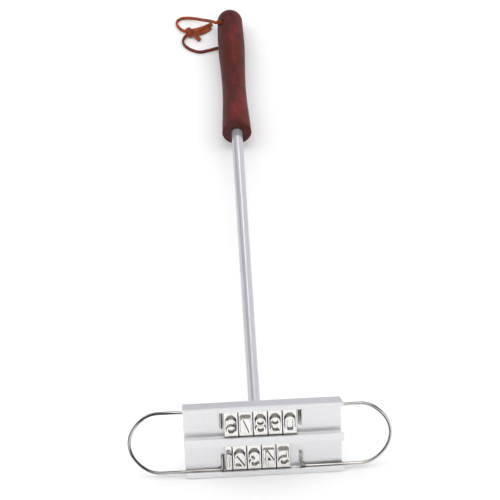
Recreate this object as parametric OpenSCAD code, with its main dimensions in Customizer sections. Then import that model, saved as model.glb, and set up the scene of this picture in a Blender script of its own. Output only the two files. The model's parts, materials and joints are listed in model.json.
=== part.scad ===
// Barbecue branding iron with changeable type, lying on a table.
// The tool's own frame: X along the head, Y along the rod from the face to the handle, Z up the face.
// lay_down() tips the tool about X until the head and the strap under the handle both touch Z = 0.

/* [Head] */
// Length of the type holder, along X
head_l = 101.6; // [90:0.1:160]
// Height of the type holder's face
head_h = 62; // [54:0.5:90]
// Thickness of the plate behind the channels
floor_t = 2; // [1.2:0.1:5]
// Depth of the undercut slots that hold the type's tongues and the clip wire
slot_t = 2.4; // [2.4:0.1:4]
// Thickness of the lips in front of the slots
flange_t = 1.6; // [1:0.1:3]
// Width of the outer lips, seen from the front
lip_w = 4.4; // [3:0.1:8]
// Width of the rib between the two channels, seen from the front
rib_w = 7; // [5:0.1:12]
// How far a slot reaches in under its lip
undercut = 1.5; // [1.3:0.1:2]
// Width of the spine on the back that takes the rod's thread
spine_w = 14; // [12:0.5:24]
// Thickness of the spine on the back
spine_t = 6; // [4:0.5:12]
// Radius on the head's long outer edges
edge_r = 0.6; // [0.2:0.1:0.9]
// Angle of the right end's saw cut from square, which leaves the back shorter than the face
end_slant = 22; // [0:1:30]
// Size of the two lower corners that are filed off
corner_cut = 2; // [0.5:0.1:2.5]

/* [Rod] */
// Diameter of the rod
rod_d = 7.6; // [6:0.1:10]
// Length of rod between the spine and the handle
rod_l = 287.6; // [150:0.1:450]
// Place of the rod along the head, from the head's middle
rod_x = -4.8; // [-20:0.1:20]
// Diameter of the threaded end in the spine
spigot_d = 6; // [4:0.1:6]
// Length of the threaded end in the spine
spigot_l = 5; // [3:0.5:6]
// Length of rod glued into the handle
tang_l = 55; // [25:1:80]

/* [Handle] */
// Length of the handle
handle_l = 130; // [115:1:180]
// Diameter of the flared end that faces the head
base_d = 20.2; // [18:0.1:30]
// Diameter of the waist
waist_d = 16.3; // [13:0.1:18]
// Distance from the flared end to the waist
waist_at = 49; // [35:1:60]
// Diameter of the swell above the waist
swell_d = 18.7; // [16:0.1:26]
// Distance from the flared end to the swell
swell_at = 97; // [75:1:100]
// Diameter where the domed end begins
dome_d = 17.9; // [14:0.1:24]
// Length of the domed end
dome_l = 9.5; // [6:0.5:14]
// Distance from the strap hole to the handle's domed end
hole_to_end = 17; // [15:0.5:28]
// Diameter of the strap hole
strap_hole_d = 4.2; // [4:0.1:6]
// Angle of the strap hole from upright, leaning towards -X
strap_hole_lean = 45; // [35:1:55]

/* [Type] */
// Pitch of a full type block along its row
type_pitch = 9.3; // [8:0.1:11]
// Pitch of the narrow type block
narrow_pitch = 4.6; // [4:0.1:6]
// Gap between neighbouring type blocks
type_gap = 0.5; // [0.1:0.05:0.6]
// Clearance round a tongue in its slot
tongue_gap = 0.15; // [0.1:0.05:0.2]
// Clearance between a type block's body and the lips
lip_gap = 0.55; // [0.2:0.05:0.65]
// How far a type block's face lies behind the lips
face_recess = 1.4; // [0.6:0.1:1.5]
// Height of the raised figures
relief = 2.5; // [1.8:0.1:4]
// Height of a figure on the face
figure_h = 14; // [10:0.5:18]
// Bare margin beside a figure, on each side
figure_margin = 1; // [1:0.1:2]
// Width of a figure's stroke
stroke = 1.8; // [1:0.1:2]
// Depth of the hollows between a figure's strokes
counter_depth = 1.3; // [0.6:0.1:1.6]
// How far the base that a figure stands on shows round it
figure_foot = 0.2; // [0.1:0.05:0.4]
// Left end of both rows, from the head's middle
row_start = -25; // [-30:0.1:-20]
// Play left in the upper row
row_play = 1.1; // [0.5:0.1:3]

/* [Clips] */
// Diameter of the clip wire
wire_d = 2.1; // [1.4:0.1:2.1]
// Bend radius at a hook, on the wire's centre line
hook_bend = 3.6; // [2.2:0.1:4.2]
// Reach of an upper hook from its leg's centre line
upper_hook_l = 16; // [10:0.5:18]
// Reach of a lower hook from its leg's centre line
lower_hook_l = 12; // [10:0.5:18]
// Length of the left clip, from its hooks' centre line to the far end of its loop's centre line
left_clip_l = 58.6; // [50:0.1:80]
// Length of the right clip, from its hooks' centre line to the far end of its loop's centre line
right_clip_l = 57; // [50:0.1:80]
// Length of the rounded part of the loop
loop_l = 19.5; // [17:0.5:22]
// Radius of the loop's two corners
loop_corner = 14; // [10:0.5:15]
// Gap between the left clip's hooks and the type beside them
hook_gap = 0.85; // [0.1:0.05:1]

/* [Strap] */
// Diameter of the leather lace
lace_d = 2.2; // [1.8:0.1:2.4]
// Room left between the handle and the lace that it lies on
lace_gap = 0.3; // [0.2:0.05:0.6]
// Width of the knot
knot_w = 8; // [7:0.5:11]
// Height of the knot
knot_h = 5; // [4:0.5:7]

/* [Hidden] */
$fn = 48;
CUT = 1;
FIGURES_UPPER = [6, 7, 8, 9, 0];
FIGURES_LOWER = [1, 2, 3, 4, 5];
ROUND_TOPS = [0, 2, 3, 6, 8, 9];
ROUND_FEET = [0, 3, 5, 6, 8, 9];
UPPER_NODES = [for (i = [1 : len(FIGURES_UPPER)]) str("type_upper_", i)];
LOWER_NODES = [for (i = [1 : len(FIGURES_LOWER)]) str("type_lower_", i)];

// Head: the lips' fronts lie at Y = 0 and the plate's back at Y = head_t
head_t = floor_t + slot_t + flange_t;
lip_edge = head_h / 2 - lip_w;
channel_h = lip_edge - rib_w / 2;
channel_z = (lip_edge + rib_w / 2) / 2;
spine_back = head_t + spine_t;
thread_gap = 0.05;

// Rod and handle
handle_at = spine_back + rod_l;
dome_at = handle_l - dome_l;
hole_at = handle_l - hole_to_end;
hole_y = handle_at + hole_at;
base_round = 0.8;
profile_step = 3;
dome_step = 10;
glue_gap = 0.05;

// Type
tongue_t = slot_t - 2 * tongue_gap;
tongue_h = channel_h + 2 * (undercut - tongue_gap);
block_h = channel_h - 2 * lip_gap;
tongue_back = head_t - floor_t - tongue_gap;
full_w = type_pitch - type_gap;
narrow_w = narrow_pitch - type_gap;
row_end = row_start + len(FIGURES_UPPER) * type_pitch - type_gap;

// Clips: the legs run in the outer slots, half under the lips
wire_r = wire_d / 2;
wire_y = flange_t + slot_t / 2;
leg_gap = 0.3;
leg_z = lip_edge + undercut - wire_r - leg_gap;
left_hook_x = row_start - hook_gap - wire_r;
right_hook_x = row_end + row_play + wire_r;
corner_z = leg_z - loop_corner;
end_r = (loop_corner ^ 2 - corner_z ^ 2 - loop_l ^ 2) / (2 * (loop_corner - loop_l));
end_turn = atan2(corner_z, end_r - loop_l);
bend_lap = 0.1;
bend_step = 0.005;

// Strap: the lace passes under the handle at this distance from the flared end
cross_at = hole_at - 9;
lace_r = lace_d / 2;
LACE_SIDES = 8;
knot_at = [-32, 418.5];
lace_z = 1.2;
lace_split = 0.1;
knot_lift = 0.2;
knot_z = knot_h / 2 + knot_lift;

// Points of the lace outside the handle, from the hole's upper mouth to the knot
FRONT_ROUTE = [
    [-14.5, 411, 18], [-17.5, 414, 16.5], [-20.5, 418.5, 13.5], [-24, 424, 9.5], [-26.2, 427.1, 7.45],
    [-28.5, 430, 5.5], [-33.5, 434.5, 2.5], [-38.5, 436, 1.2], [-42, 433.5, 1.2], [-42.5, 429.5, 1.2],
    [-40.5, 425, 1.4], [-37.8, 421.8, 2], [-35, 420.2, 2.6]
];
// Points of the lace outside the handle, from the hole's lower mouth to the knot
REAR_ROUTE = [
    [3.2, 408.85, 3.2], [3.7, 406.55, 1.9], [3, 404.1, 1.25], [1, 402, 1.2], [-2.2, 401.2, 1.3],
    [-8.5, 402, 1.2], [-14, 402.6, 1.2], [-21, 400.6, 1.2], [-27, 399.4, 1.2], [-32.5, 401.6, 1.2],
    [-37, 406, 1.2], [-38.8, 411, 1.2], [-37.8, 414.8, 1.6], [-35.4, 417.2, 2.2]
];
// Points of the lace's ends beyond the knot
TAIL_ROUTES = [
    [[-29.4, 420.4, 3], [-25.5, 422, 2.4], [-21.5, 424.5, 1.5], [-17.8, 427.5, 1.2]],
    [[-28.8, 418, 2.6], [-25.4, 418.8, 1.6], [-22, 420.8, 1.2], [-18.8, 423.5, 1.2]],
    [[-30.4, 415.4, 2.6], [-28.6, 413.6, 1.6], [-26.4, 411.8, 1.2]]
];

// How far the tool tips to lie down, and how far its middle then rises
rest_r = handle_r(cross_at);
lay = atan2(
    head_h / 2 - rest_r - lace_z - lace_r - lace_gap,
    handle_at + cross_at - head_t
);
toe_drop = (head_t / 2 - edge_r) * sin(lay) + edge_r * (1 - cos(lay));

// Radius of the handle at a distance from its flared end
function ease(s) = (1 - cos(180 * s)) / 2;
function flare(s) = (1 - s) ^ 2 * (1 + s);
function handle_r(t) =
    t < waist_at ? (waist_d + (base_d - waist_d) * flare(t / waist_at)) / 2 :
    t < swell_at ? (waist_d + (swell_d - waist_d) * ease((t - waist_at) / (swell_at - waist_at))) / 2 :
    t < dome_at ? (swell_d + (dome_d - swell_d) * ease((t - swell_at) / (dome_at - swell_at))) / 2 :
    dome_d / 2 * sqrt(max(0, 1 - ((t - dome_at) / dome_l) ^ 2));

// A point of the tool's own frame, after the tool is laid down
function laid(p) =
    let (y = p.y - head_t / 2, z = p.z + head_h / 2)
    [p.x, y * cos(lay) + z * sin(lay), z * cos(lay) - y * sin(lay) + toe_drop];

// A point on the strap hole's axis, at a distance from the handle's axis towards the upper mouth
function on_hole(d) =
    laid([rod_x - d * sin(strap_hole_lean), hole_y, d * cos(strap_hole_lean)]);

// The rings of a lace tube: each lies square to the route at its point
function unit(v) = v / norm(v);
function route_dir(route, i) =
    unit(route[min(i + 1, len(route) - 1)] - route[max(i - 1, 0)]);
function lace_ring(route, i) =
    let (
        along = route_dir(route, i),
        side = unit(cross(along, abs(along.z) > 0.9 ? [0, 1, 0] : [0, 0, 1])),
        up = cross(side, along)
    )
    [for (k = [0 : LACE_SIDES - 1])
        let (a = 360 * (k + 0.5) / LACE_SIDES)
        route[i] + lace_r * (cos(a) * side + sin(a) * up)];

// A smooth route through hand-chosen points, with a point halfway along each stretch
function smooth_mid(p, i) =
    let (n = len(p), before = p[max(i - 1, 0)], after = p[min(i + 2, n - 1)])
    (9 * (p[i] + p[i + 1]) - before - after) / 16;
function smooth_route(p) = [
    for (i = [0 : len(p) - 1], half = [0, 1])
    if (half == 0 || i < len(p) - 1) half == 0 ? p[i] : smooth_mid(p, i)
];

module lay_down() {
    translate([0, 0, toe_drop]) rotate([-lay, 0, 0]) translate([0, -head_t / 2, head_h / 2]) children();
}

// Extrudes a shape drawn in Y and Z along X, centred on the head's middle
module along_head(length) {
    rotate([90, 0, 90]) linear_extrude(height = length, center = true) children();
}

// A rectangle with round corners
module rounded_rect(size, r) {
    translate([r, 0]) square([size.x - 2 * r, size.y]);
    translate([0, r]) square([size.x, size.y - 2 * r]);
    for (x = [r, size.x - r], y = [r, size.y - r]) translate([x, y]) circle(r);
}

// One channel of the head, with a slot under the lip on each side
module channel_cut() {
    translate([-CUT, -channel_h / 2]) square([CUT + flange_t + slot_t, channel_h]);
    translate([flange_t, -channel_h / 2 - undercut]) square([slot_t, channel_h + 2 * undercut]);
}

module head_profile() {
    difference() {
        translate([0, -head_h / 2]) rounded_rect([head_t, head_h], edge_r);
        for (side = [-1, 1]) translate([0, side * channel_z]) channel_cut();
    }
    translate([head_t - edge_r, -spine_w / 2]) rounded_rect([spine_t + edge_r, spine_w], edge_r);
}

// What the slanting saw cut takes off the right end
module end_waste() {
    translate([head_l / 2, 0, 0]) rotate([0, 0, end_slant])
        translate([0, -CUT, -head_h]) cube([head_h, head_h, 2 * head_h]);
}

// What the file takes off the two lower corners
module corner_waste() {
    side = corner_cut * sqrt(2);
    for (end = [-1, 1]) translate([end * head_l / 2, 0, -head_h / 2]) rotate([0, 45, 0])
        cube([side, 2 * spine_back, side], center = true);
}

module head_channel() {
    color("#c9c9d0") lay_down() difference() {
        along_head(head_l) head_profile();
        end_waste();
        corner_waste();
        translate([rod_x, spine_back + CUT, 0]) rotate([90, 0, 0])
            cylinder(d = spigot_d + 2 * thread_gap, h = spigot_l + thread_gap + CUT);
    }
}

module rod() {
    color("#cfcfd6") lay_down() translate([rod_x, 0, 0]) rotate([-90, 0, 0]) {
        translate([0, 0, spine_back]) cylinder(d = rod_d, h = rod_l + tang_l);
        translate([0, 0, spine_back - spigot_l]) cylinder(d = spigot_d, h = spigot_l + CUT);
    }
}

// Half outline of the handle, from the flared end to the dome
module handle_outline() {
    rim = [[0, 0], [handle_r(base_round) - base_round, 0]];
    body = [for (t = [base_round : profile_step : dome_at]) [handle_r(t), t]];
    dome = [for (a = [0 : dome_step : 90 - dome_step])
        [dome_d / 2 * cos(a), dome_at + dome_l * sin(a)]];
    polygon(concat(rim, body, dome, [[0, handle_l]]));
}

module handle() {
    color("#6b2f2c") lay_down() translate([rod_x, handle_at, 0]) difference() {
        rotate([-90, 0, 0]) rotate_extrude() handle_outline();
        translate([0, -CUT, 0]) rotate([-90, 0, 0])
            cylinder(d = rod_d + 2 * glue_gap, h = CUT + tang_l + glue_gap);
        translate([0, hole_at, 0]) rotate([0, -strap_hole_lean, 0])
            cylinder(d = strap_hole_d, h = 2 * swell_d, center = true);
    }
}

// A bent length of wire: an arc of the given radius about Y, from one angle over a turn
module wire_arc(radius, from, turn, r) {
    rotate([90, 0, 0]) rotate_extrude(angle = turn, start = from) translate([radius, 0]) circle(r);
}

// A bend that joins two lengths of wire. It is a hair thinner than the wire and runs a little way
// into both lengths, so that they join as one solid.
module wire_bend(radius, from, turn) {
    lap = bend_lap / radius * 180 / PI;
    wire_arc(radius, from - lap, turn + 2 * lap, wire_r - bend_step);
}

// Half of a clip above its middle: hook, leg and corner.
// The hook's centre line lies at X = 0 and the loop reaches out to X = length.
module clip_half(length, hook) {
    leg_l = length - loop_l - hook_bend;
    translate([0, 0, leg_z - hook]) cylinder(r = wire_r, h = hook - hook_bend);
    translate([hook_bend, 0, leg_z - hook_bend]) wire_bend(hook_bend, 90, 90);
    translate([hook_bend, 0, leg_z]) rotate([0, 90, 0]) cylinder(r = wire_r, h = leg_l);
    translate([length - loop_l, 0, corner_z]) wire_bend(loop_corner, end_turn, 90 - end_turn);
}

module clip(length) {
    translate([length - end_r, 0, 0]) wire_arc(end_r, -end_turn, 2 * end_turn, wire_r);
    clip_half(length, upper_hook_l);
    mirror([0, 0, 1]) clip_half(length, lower_hook_l);
}

module left_wire_clip() {
    color("#b9b9bd") lay_down() translate([left_hook_x, wire_y, 0]) mirror([1, 0, 0]) clip(left_clip_l);
}

module right_wire_clip() {
    color("#b9b9bd") lay_down() translate([right_hook_x, wire_y, 0]) clip(right_clip_l);
}

// A closed ring with straight sides and round ends, as wide as w and as tall as h
module figure_ring(w, h) {
    difference() {
        stadium(w, h);
        stadium(w - 2 * stroke, h - 2 * stroke);
    }
}

module stadium(w, h) {
    square([w, h - w], center = true);
    for (side = [-1, 1]) translate([0, side * (h - w) / 2]) circle(d = w);
}

// A straight stroke between two points on its centre line
module figure_bar(a, b) {
    d = b - a;
    translate(a) rotate(atan2(d.y, d.x)) translate([0, -stroke / 2]) square([norm(d), stroke]);
}

// The figures 0 to 9, drawn in a box as wide as w and as tall as h
module figure(n, w, h) {
    half = (h + stroke) / 2;
    low = -(h - half) / 2;
    x = w / 2 - stroke / 2;
    y = h / 2 - stroke / 2;
    if (n == 0) figure_ring(w, h);
    if (n == 1) {
        figure_bar([w / 4, -h / 2], [w / 4, h / 2]);
        figure_bar([w / 4, y - stroke / 2], [-w / 2, y - w / 2]);
    }
    if (n == 2) {
        intersection() {
            translate([0, -low]) figure_ring(w, half);
            union() {
                translate([-w, h / 2 - w / 2]) square([2 * w, w]);
                translate([0, -low - half / 4]) square([w, h]);
            }
        }
        figure_bar([x + stroke * 0.2, -low - half / 4 + stroke * 0.3], [-x, -y]);
        figure_bar([-w / 2, -y], [w / 2, -y]);
    }
    if (n == 3) difference() {
        for (side = [-1, 1]) translate([0, side * low]) figure_ring(w, half);
        translate([-w, -h / 2 + w / 2]) square([w * 0.75, h - w]);
    }
    if (n == 4) {
        figure_bar([w / 5, -h / 2], [w / 5, h / 2]);
        figure_bar([-w / 2, -h / 5], [w / 2, -h / 5]);
        figure_bar([-x, -h / 5], [w / 5 - stroke * 0.1, y]);
    }
    if (n == 5) {
        figure_bar([-w / 2, y], [w / 2, y]);
        figure_bar([-x, y], [-x, -low - half / 2]);
        difference() {
            translate([0, low]) figure_ring(w, half);
            translate([-w, -h / 2 + w / 2]) square([w * 0.75, half - w]);
        }
        figure_bar([-w / 2, low + half / 2 - stroke / 2], [0, low + half / 2 - stroke / 2]);
    }
    if (n == 6) {
        translate([0, low]) figure_ring(w, half);
        intersection() {
            figure_ring(w, h);
            union() {
                translate([-w, 0]) square([w, h]);
                translate([-w, h / 2 - w * 0.45]) square([2 * w, w]);
            }
        }
    }
    if (n == 7) {
        figure_bar([-w / 2, y], [w / 2, y]);
        figure_bar([x + stroke * 0.1, y], [-w / 6, -h / 2]);
    }
    if (n == 8) for (side = [-1, 1]) translate([0, side * low]) figure_ring(w, half);
    if (n == 9) rotate(180) figure(6, w, h);
}

// The filled base of a figure: round at the ends where the figure is round, and square elsewhere
module figure_base(n, w, h) {
    stadium(w, h);
    if (len(search(n, ROUND_TOPS)) == 0) translate([-w / 2, 0]) square([w, h / 2]);
    if (len(search(n, ROUND_FEET)) == 0) translate([-w / 2, -h / 2]) square([w, h / 2]);
}

// A block with tongues for the slots and a raised figure that reads backwards, its left side at X = 0
module type_piece(w, n) {
    figure_w = w - 2 * figure_margin;
    translate([0, tongue_back - tongue_t, -tongue_h / 2]) cube([w, tongue_t, tongue_h]);
    translate([0, face_recess, -block_h / 2]) cube([w, tongue_back - face_recess, block_h]);
    translate([w / 2, face_recess + CUT, 0]) rotate([90, 0, 0]) {
        linear_extrude(relief + CUT) mirror([1, 0]) figure(n, figure_w, figure_h);
        linear_extrude(relief - counter_depth + CUT)
            mirror([1, 0]) figure_base(n, figure_w + 2 * figure_foot, figure_h + 2 * figure_foot);
    }
}

module type_upper(i) {
    color("#d8d5ce") lay_down() translate([row_start + i * type_pitch, 0, channel_z])
        type_piece(full_w, FIGURES_UPPER[i]);
}

module type_lower(i) {
    first = i == 0;
    color("#d8d5ce") lay_down()
        translate([row_start + (first ? 0 : narrow_pitch + (i - 1) * type_pitch), 0, -channel_z])
        type_piece(first ? narrow_w : full_w, FIGURES_LOWER[i]);
}

// A tube of lace along a route, closed at both ends
module lace(route) {
    rings = len(route);
    sides = LACE_SIDES;
    points = [for (i = [0 : rings - 1]) each lace_ring(route, i)];
    walls = [for (i = [0 : rings - 2], k = [0 : sides - 1], half = [0, 1])
        let (a = i * sides + k, b = i * sides + (k + 1) % sides)
        half == 0 ? [a, b, b + sides] : [a, b + sides, a + sides]];
    ends = [for (k = [1 : sides - 2], far = [0, 1])
        far == 0 ? [0, k + 1, k] : [0, k, k + 1] + (rings - 1) * sides * [1, 1, 1]];
    polyhedron(points, concat(walls, ends));
}

module strap_front_strand() {
    start = [on_hole(lace_split), on_hole(dome_d / 2 + lace_r)];
    color("#a85a30") lace(smooth_route(concat(start, FRONT_ROUTE)));
}

module strap_rear_strand() {
    start = [on_hole(-lace_split), on_hole(-dome_d / 4), on_hole(-dome_d / 2)];
    color("#a85a30") lace(smooth_route(concat(start, REAR_ROUTE)));
}

module strap_knot() {
    color("#a85a30") translate([knot_at.x, knot_at.y, knot_z]) rotate_extrude() {
        translate([0, -knot_h / 2]) square([(knot_w - knot_h) / 2, knot_h]);
        intersection() {
            translate([(knot_w - knot_h) / 2, 0]) circle(d = knot_h);
            translate([0, -knot_h / 2]) square([knot_w / 2, knot_h]);
        }
    }
}

module strap_tails() {
    color("#a85a30") for (route = TAIL_ROUTES) lace(route);
}

head_channel();
rod();
handle();
left_wire_clip();
right_wire_clip();
for (i = [0 : len(UPPER_NODES) - 1]) {
    type_upper(i);
}
for (i = [0 : len(LOWER_NODES) - 1]) {
    type_lower(i);
}
strap_front_strand();
strap_rear_strand();
strap_knot();
strap_tails();
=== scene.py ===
"""The looks of a barbecue branding iron with changeable type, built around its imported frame.

Sizes are millimetres. The rigid pieces are drawn in the tool's own axes (X along the holder, Y from the
holder's face to the handle, Z up the face), and Lay.place() carries them to the frame, where the tool lies
on a table. The lace is drawn in the frame's axes, because it lies on the table itself.
"""

import json
import logging
import math
from dataclasses import dataclass
from enum import Enum

import bmesh
import bpy
import numpy as np
from mathutils import Euler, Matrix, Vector


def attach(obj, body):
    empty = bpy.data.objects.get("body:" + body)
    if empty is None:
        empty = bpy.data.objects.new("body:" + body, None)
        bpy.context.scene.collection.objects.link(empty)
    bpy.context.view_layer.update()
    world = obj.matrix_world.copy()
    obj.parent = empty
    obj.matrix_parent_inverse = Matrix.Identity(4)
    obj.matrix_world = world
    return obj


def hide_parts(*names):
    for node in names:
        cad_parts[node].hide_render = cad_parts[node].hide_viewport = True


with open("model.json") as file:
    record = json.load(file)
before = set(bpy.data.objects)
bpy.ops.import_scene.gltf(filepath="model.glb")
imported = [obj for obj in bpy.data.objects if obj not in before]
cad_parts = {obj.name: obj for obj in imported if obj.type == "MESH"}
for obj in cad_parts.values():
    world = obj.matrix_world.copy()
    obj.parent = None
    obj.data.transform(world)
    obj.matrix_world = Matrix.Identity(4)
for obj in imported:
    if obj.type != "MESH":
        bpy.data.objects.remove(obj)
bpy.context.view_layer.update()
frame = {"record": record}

LOG = logging.getLogger("branding_iron")
MM = 0.001
# Points closer than this, in metres, become one.
WELD = 1e-7
# Edges that turn by more than this many degrees stay crisp.
CRISP = 35.0
TOOL = "tool"


class Along(Enum):
    """The tool's axis that a metal's drawing or extrusion lines run along."""

    HOLDER = 0
    ROD = 1


class Side(Enum):
    """The end of the holder that a wire clip goes in at, as its sign on X."""

    LEFT = -1
    RIGHT = 1


class Row(Enum):
    """A row of type, as the sign of its channel on Z."""

    LOWER = -1
    UPPER = 1


@dataclass(frozen=True)
class Patch:
    """A surface before it becomes a mesh.

    Attributes:
        points: the points in millimetres, an array of shape (n, 3).
        faces: each face as the numbers of its corners in points.
    """

    points: np.ndarray
    faces: list[list[int]]


def joined(patches: list[Patch]) -> Patch:
    """Several closed surfaces as one piece, with their corner numbers shifted to follow one another.

    Args:
        patches: the surfaces to put together.

    Returns:
        One surface with all their points and faces.
    """
    starts = np.cumsum([0] + [len(patch.points) for patch in patches])
    faces = [
        [corner + start for corner in face] for patch, start in zip(patches, starts) for face in patch.faces
    ]
    return Patch(np.concatenate([patch.points for patch in patches]), faces)


def grid_patch(points: np.ndarray, ring: bool = False) -> Patch:
    """Faces over a grid of sections, each of which runs round a closed outline.

    Face (i, j) joins grid points (i, j), (i, j+1), (i+1, j+1) and (i+1, j), and the last column joins the
    first. The first and last sections are closed by one face each, unless the sections go round a ring.

    Args:
        points: array of shape (sections, columns, 3).
        ring: whether the last section joins the first.

    Returns:
        The closed surface.
    """
    sections, columns = points.shape[:2]
    number = np.arange(sections * columns).reshape(sections, columns)
    lower = number if ring else number[:-1]
    upper = np.roll(number, -1, axis=0) if ring else number[1:]
    quads = np.stack([lower, np.roll(lower, -1, 1), np.roll(upper, -1, 1), upper], axis=-1)
    caps = [] if ring else [number[0].tolist(), number[-1].tolist()]
    return Patch(points.reshape(-1, 3), quads.reshape(-1, 4).tolist() + caps)


def unit(vectors: np.ndarray) -> np.ndarray:
    """The vectors along the last axis, each scaled to length one."""
    return vectors / np.linalg.norm(vectors, axis=-1, keepdims=True)


def directions(path: np.ndarray, ring: bool = False) -> np.ndarray:
    """Unit directions along a path, each from the point before to the point after.

    Args:
        path: array of shape (n, 2) or (n, 3).
        ring: whether the path closes on itself.

    Returns:
        An array like path.
    """
    if ring:
        return unit(np.roll(path, -1, 0) - np.roll(path, 1, 0))
    ends = np.concatenate([path[:1], path, path[-1:]])
    return unit(ends[2:] - ends[:-2])


def left_of(run: np.ndarray) -> np.ndarray:
    """Directions in a plane after a quarter turn to the left: (u, v) becomes (-v, u)."""
    return np.stack([-run[..., 1], run[..., 0]], axis=-1)


def set_back(drawing: np.ndarray, depth: np.ndarray | float) -> np.ndarray:
    """A drawing's points (x, z) in the tool's axes: (x, depth, z).

    Args:
        drawing: array of shape (..., 2).
        depth: Y of the points, as one number or an array that spreads over them.

    Returns:
        An array of shape (..., 3).
    """
    return np.stack([drawing[..., 0], np.broadcast_to(depth, drawing.shape[:-1]), drawing[..., 1]], axis=-1)


def arc(centre: tuple[float, float], radius: float, start: float, end: float, steps: int) -> np.ndarray:
    """Points of an arc: the centre plus radius times (cos a, sin a), with a in equal steps.

    Args:
        centre: the arc's centre.
        radius: its radius.
        start: the first angle, in degrees.
        end: the last angle, in degrees.
        steps: how many steps it takes.

    Returns:
        An array of shape (steps + 1, 2).
    """
    turn = np.radians(np.linspace(start, end, steps + 1))
    return np.asarray(centre) + radius * np.stack([np.cos(turn), np.sin(turn)], axis=-1)


def rounded(corners: list[tuple[float, float]], radii: list[float], steps: int) -> np.ndarray:
    """An outline whose corners are arcs that touch both their edges.

    With h half of a corner's angle, its arc of radius r starts r / tan(h) from the corner, and its centre
    is r / sin(h) away on the bisector. Points between the arc's two ends a and b, seen from that centre,
    are (sin((1 - s) t) a + sin(s t) b) / sin(t), where t is the arc's turn and s goes from 0 to 1.

    Args:
        corners: the corners, anticlockwise.
        radii: the radius at each corner.
        steps: how many steps each arc takes.

    Returns:
        An array of shape (corners * (steps + 1), 2).
    """
    corner = np.asarray(corners)
    radius = np.asarray(radii)[:, None]
    back = unit(np.roll(corner, 1, 0) - corner)
    ahead = unit(np.roll(corner, -1, 0) - corner)
    half = np.arccos(np.clip(np.sum(back * ahead, axis=1, keepdims=True), -1, 1)) / 2
    centre = corner + unit(back + ahead) * radius / np.sin(half)
    first = corner + back * radius / np.tan(half) - centre
    last = corner + ahead * radius / np.tan(half) - centre
    turn = (math.pi - 2 * half)[:, None]
    share = np.linspace(0, 1, steps + 1)[None, :, None]
    swing = np.sin((1 - share) * turn) * first[:, None] + np.sin(share * turn) * last[:, None]
    return (centre[:, None] + swing / np.sin(turn)).reshape(-1, 2)


def extruded(
    outline: np.ndarray, start: float, end: float, edge: float, slant: float = 0.0, steps: int = 3
) -> Patch:
    """A section in Y and Z carried along X, with both end edges rounded over.

    Through the edge's quarter turn a, the section is edge * (1 - sin a) in from the end and its outline is
    drawn in by edge * (1 - cos a) along its normals. At the last end, X also falls by slant * Y.

    Args:
        outline: the section, anticlockwise, of shape (n, 2).
        start: X of the first end.
        end: X of the last end, where Y is 0.
        edge: radius of the end edges.
        slant: how much shorter the last end gets for each millimetre of Y.
        steps: how many steps the quarter turn takes.

    Returns:
        The closed surface.
    """
    turn = np.linspace(math.pi / 2, 0, steps + 1)
    reach = edge * (1 - np.sin(turn))
    along = np.concatenate([start + reach, (end - reach)[::-1]])
    last = np.repeat([0.0, 1.0], steps + 1)
    inset = np.concatenate([edge * (1 - np.cos(turn)), edge * (1 - np.cos(turn))[::-1]])
    inward = left_of(directions(outline, ring=True))
    section = outline[None] + inset[:, None, None] * inward[None]
    across = along[:, None, None] - slant * last[:, None, None] * section[..., :1]
    return grid_patch(np.concatenate([across, section], axis=-1))


def revolved(profile: np.ndarray, sides: int) -> Patch:
    """A half outline turned about Y: radius r at Y = t becomes (r cos a, t, r sin a) all the way round.

    Args:
        profile: rows of (r, t), from a point on the axis to a point on the axis.
        sides: how many sides the turn has.

    Returns:
        The closed surface, whose poles close when the mesh is welded.
    """
    turn = np.linspace(0, 2 * math.pi, sides, endpoint=False)
    radius, along = profile[:, :1], profile[:, 1:]
    points = np.stack([radius * np.cos(turn), along + 0 * turn, radius * np.sin(turn)], axis=-1)
    return grid_patch(points)


def swept(
    path: np.ndarray, section: np.ndarray, reference: np.ndarray | tuple[float, float, float],
    size: np.ndarray, ring: bool = False,
) -> Patch:
    """A closed section carried along a path: path + size * (u * side + v * up) at each point.

    side is square to the path and to the reference direction, and up is square to both.

    Args:
        path: the centre line, of shape (n, 3).
        section: the section's (u, v), of shape (m, 2).
        reference: a direction that the path is never parallel to, one for all points or one for each.
        size: the section's scale at each point of the path.
        ring: whether the path closes on itself.

    Returns:
        The closed surface.
    """
    run = directions(path, ring)
    side = unit(np.cross(run, np.asarray(reference)))
    up = np.cross(side, run)
    spread = section[None, :, :1] * side[:, None] + section[None, :, 1:] * up[:, None]
    return grid_patch(path[:, None] + size[:, None, None] * spread, ring)


def smooth_route(points: np.ndarray, steps: int) -> np.ndarray:
    """A smooth line through the points: on each stretch a cubic whose slope at a point is half the step
    between that point's two neighbours.

    Args:
        points: the points it goes through, of shape (n, 3).
        steps: how many steps each stretch takes.

    Returns:
        An array of shape ((n - 1) * steps + 1, 3).
    """
    before = np.concatenate([points[:1], points[:-2]])[:, None]
    after = np.concatenate([points[2:], points[-1:]])[:, None]
    here, there = points[:-1, None], points[1:, None]
    share = np.linspace(0, 1, steps, endpoint=False)[None, :, None]
    squared = 2 * before - 5 * here + 4 * there - after
    cubed = 3 * (here - there) + after - before
    line = here + share / 2 * (there - before + share * (squared + share * cubed))
    return np.concatenate([line.reshape(-1, 3), points[-1:]])


def oval(width: float, height: float, squareness: float, sides: int) -> np.ndarray:
    """A section between an oval and a rectangle: half of each size times cos a and sin a, each raised to
    2 / squareness with its sign kept, so that 2 gives an ellipse and more gives squarer corners.

    Args:
        width: full width.
        height: full height.
        squareness: the exponent of the curve.
        sides: how many points it has.

    Returns:
        An array of shape (sides, 2).
    """
    turn = np.linspace(0, 2 * math.pi, sides, endpoint=False)
    wave = np.stack([np.cos(turn), np.sin(turn)], axis=-1)
    return np.asarray([width, height]) / 2 * np.sign(wave) * np.abs(wave) ** (2 / squareness)


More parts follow.
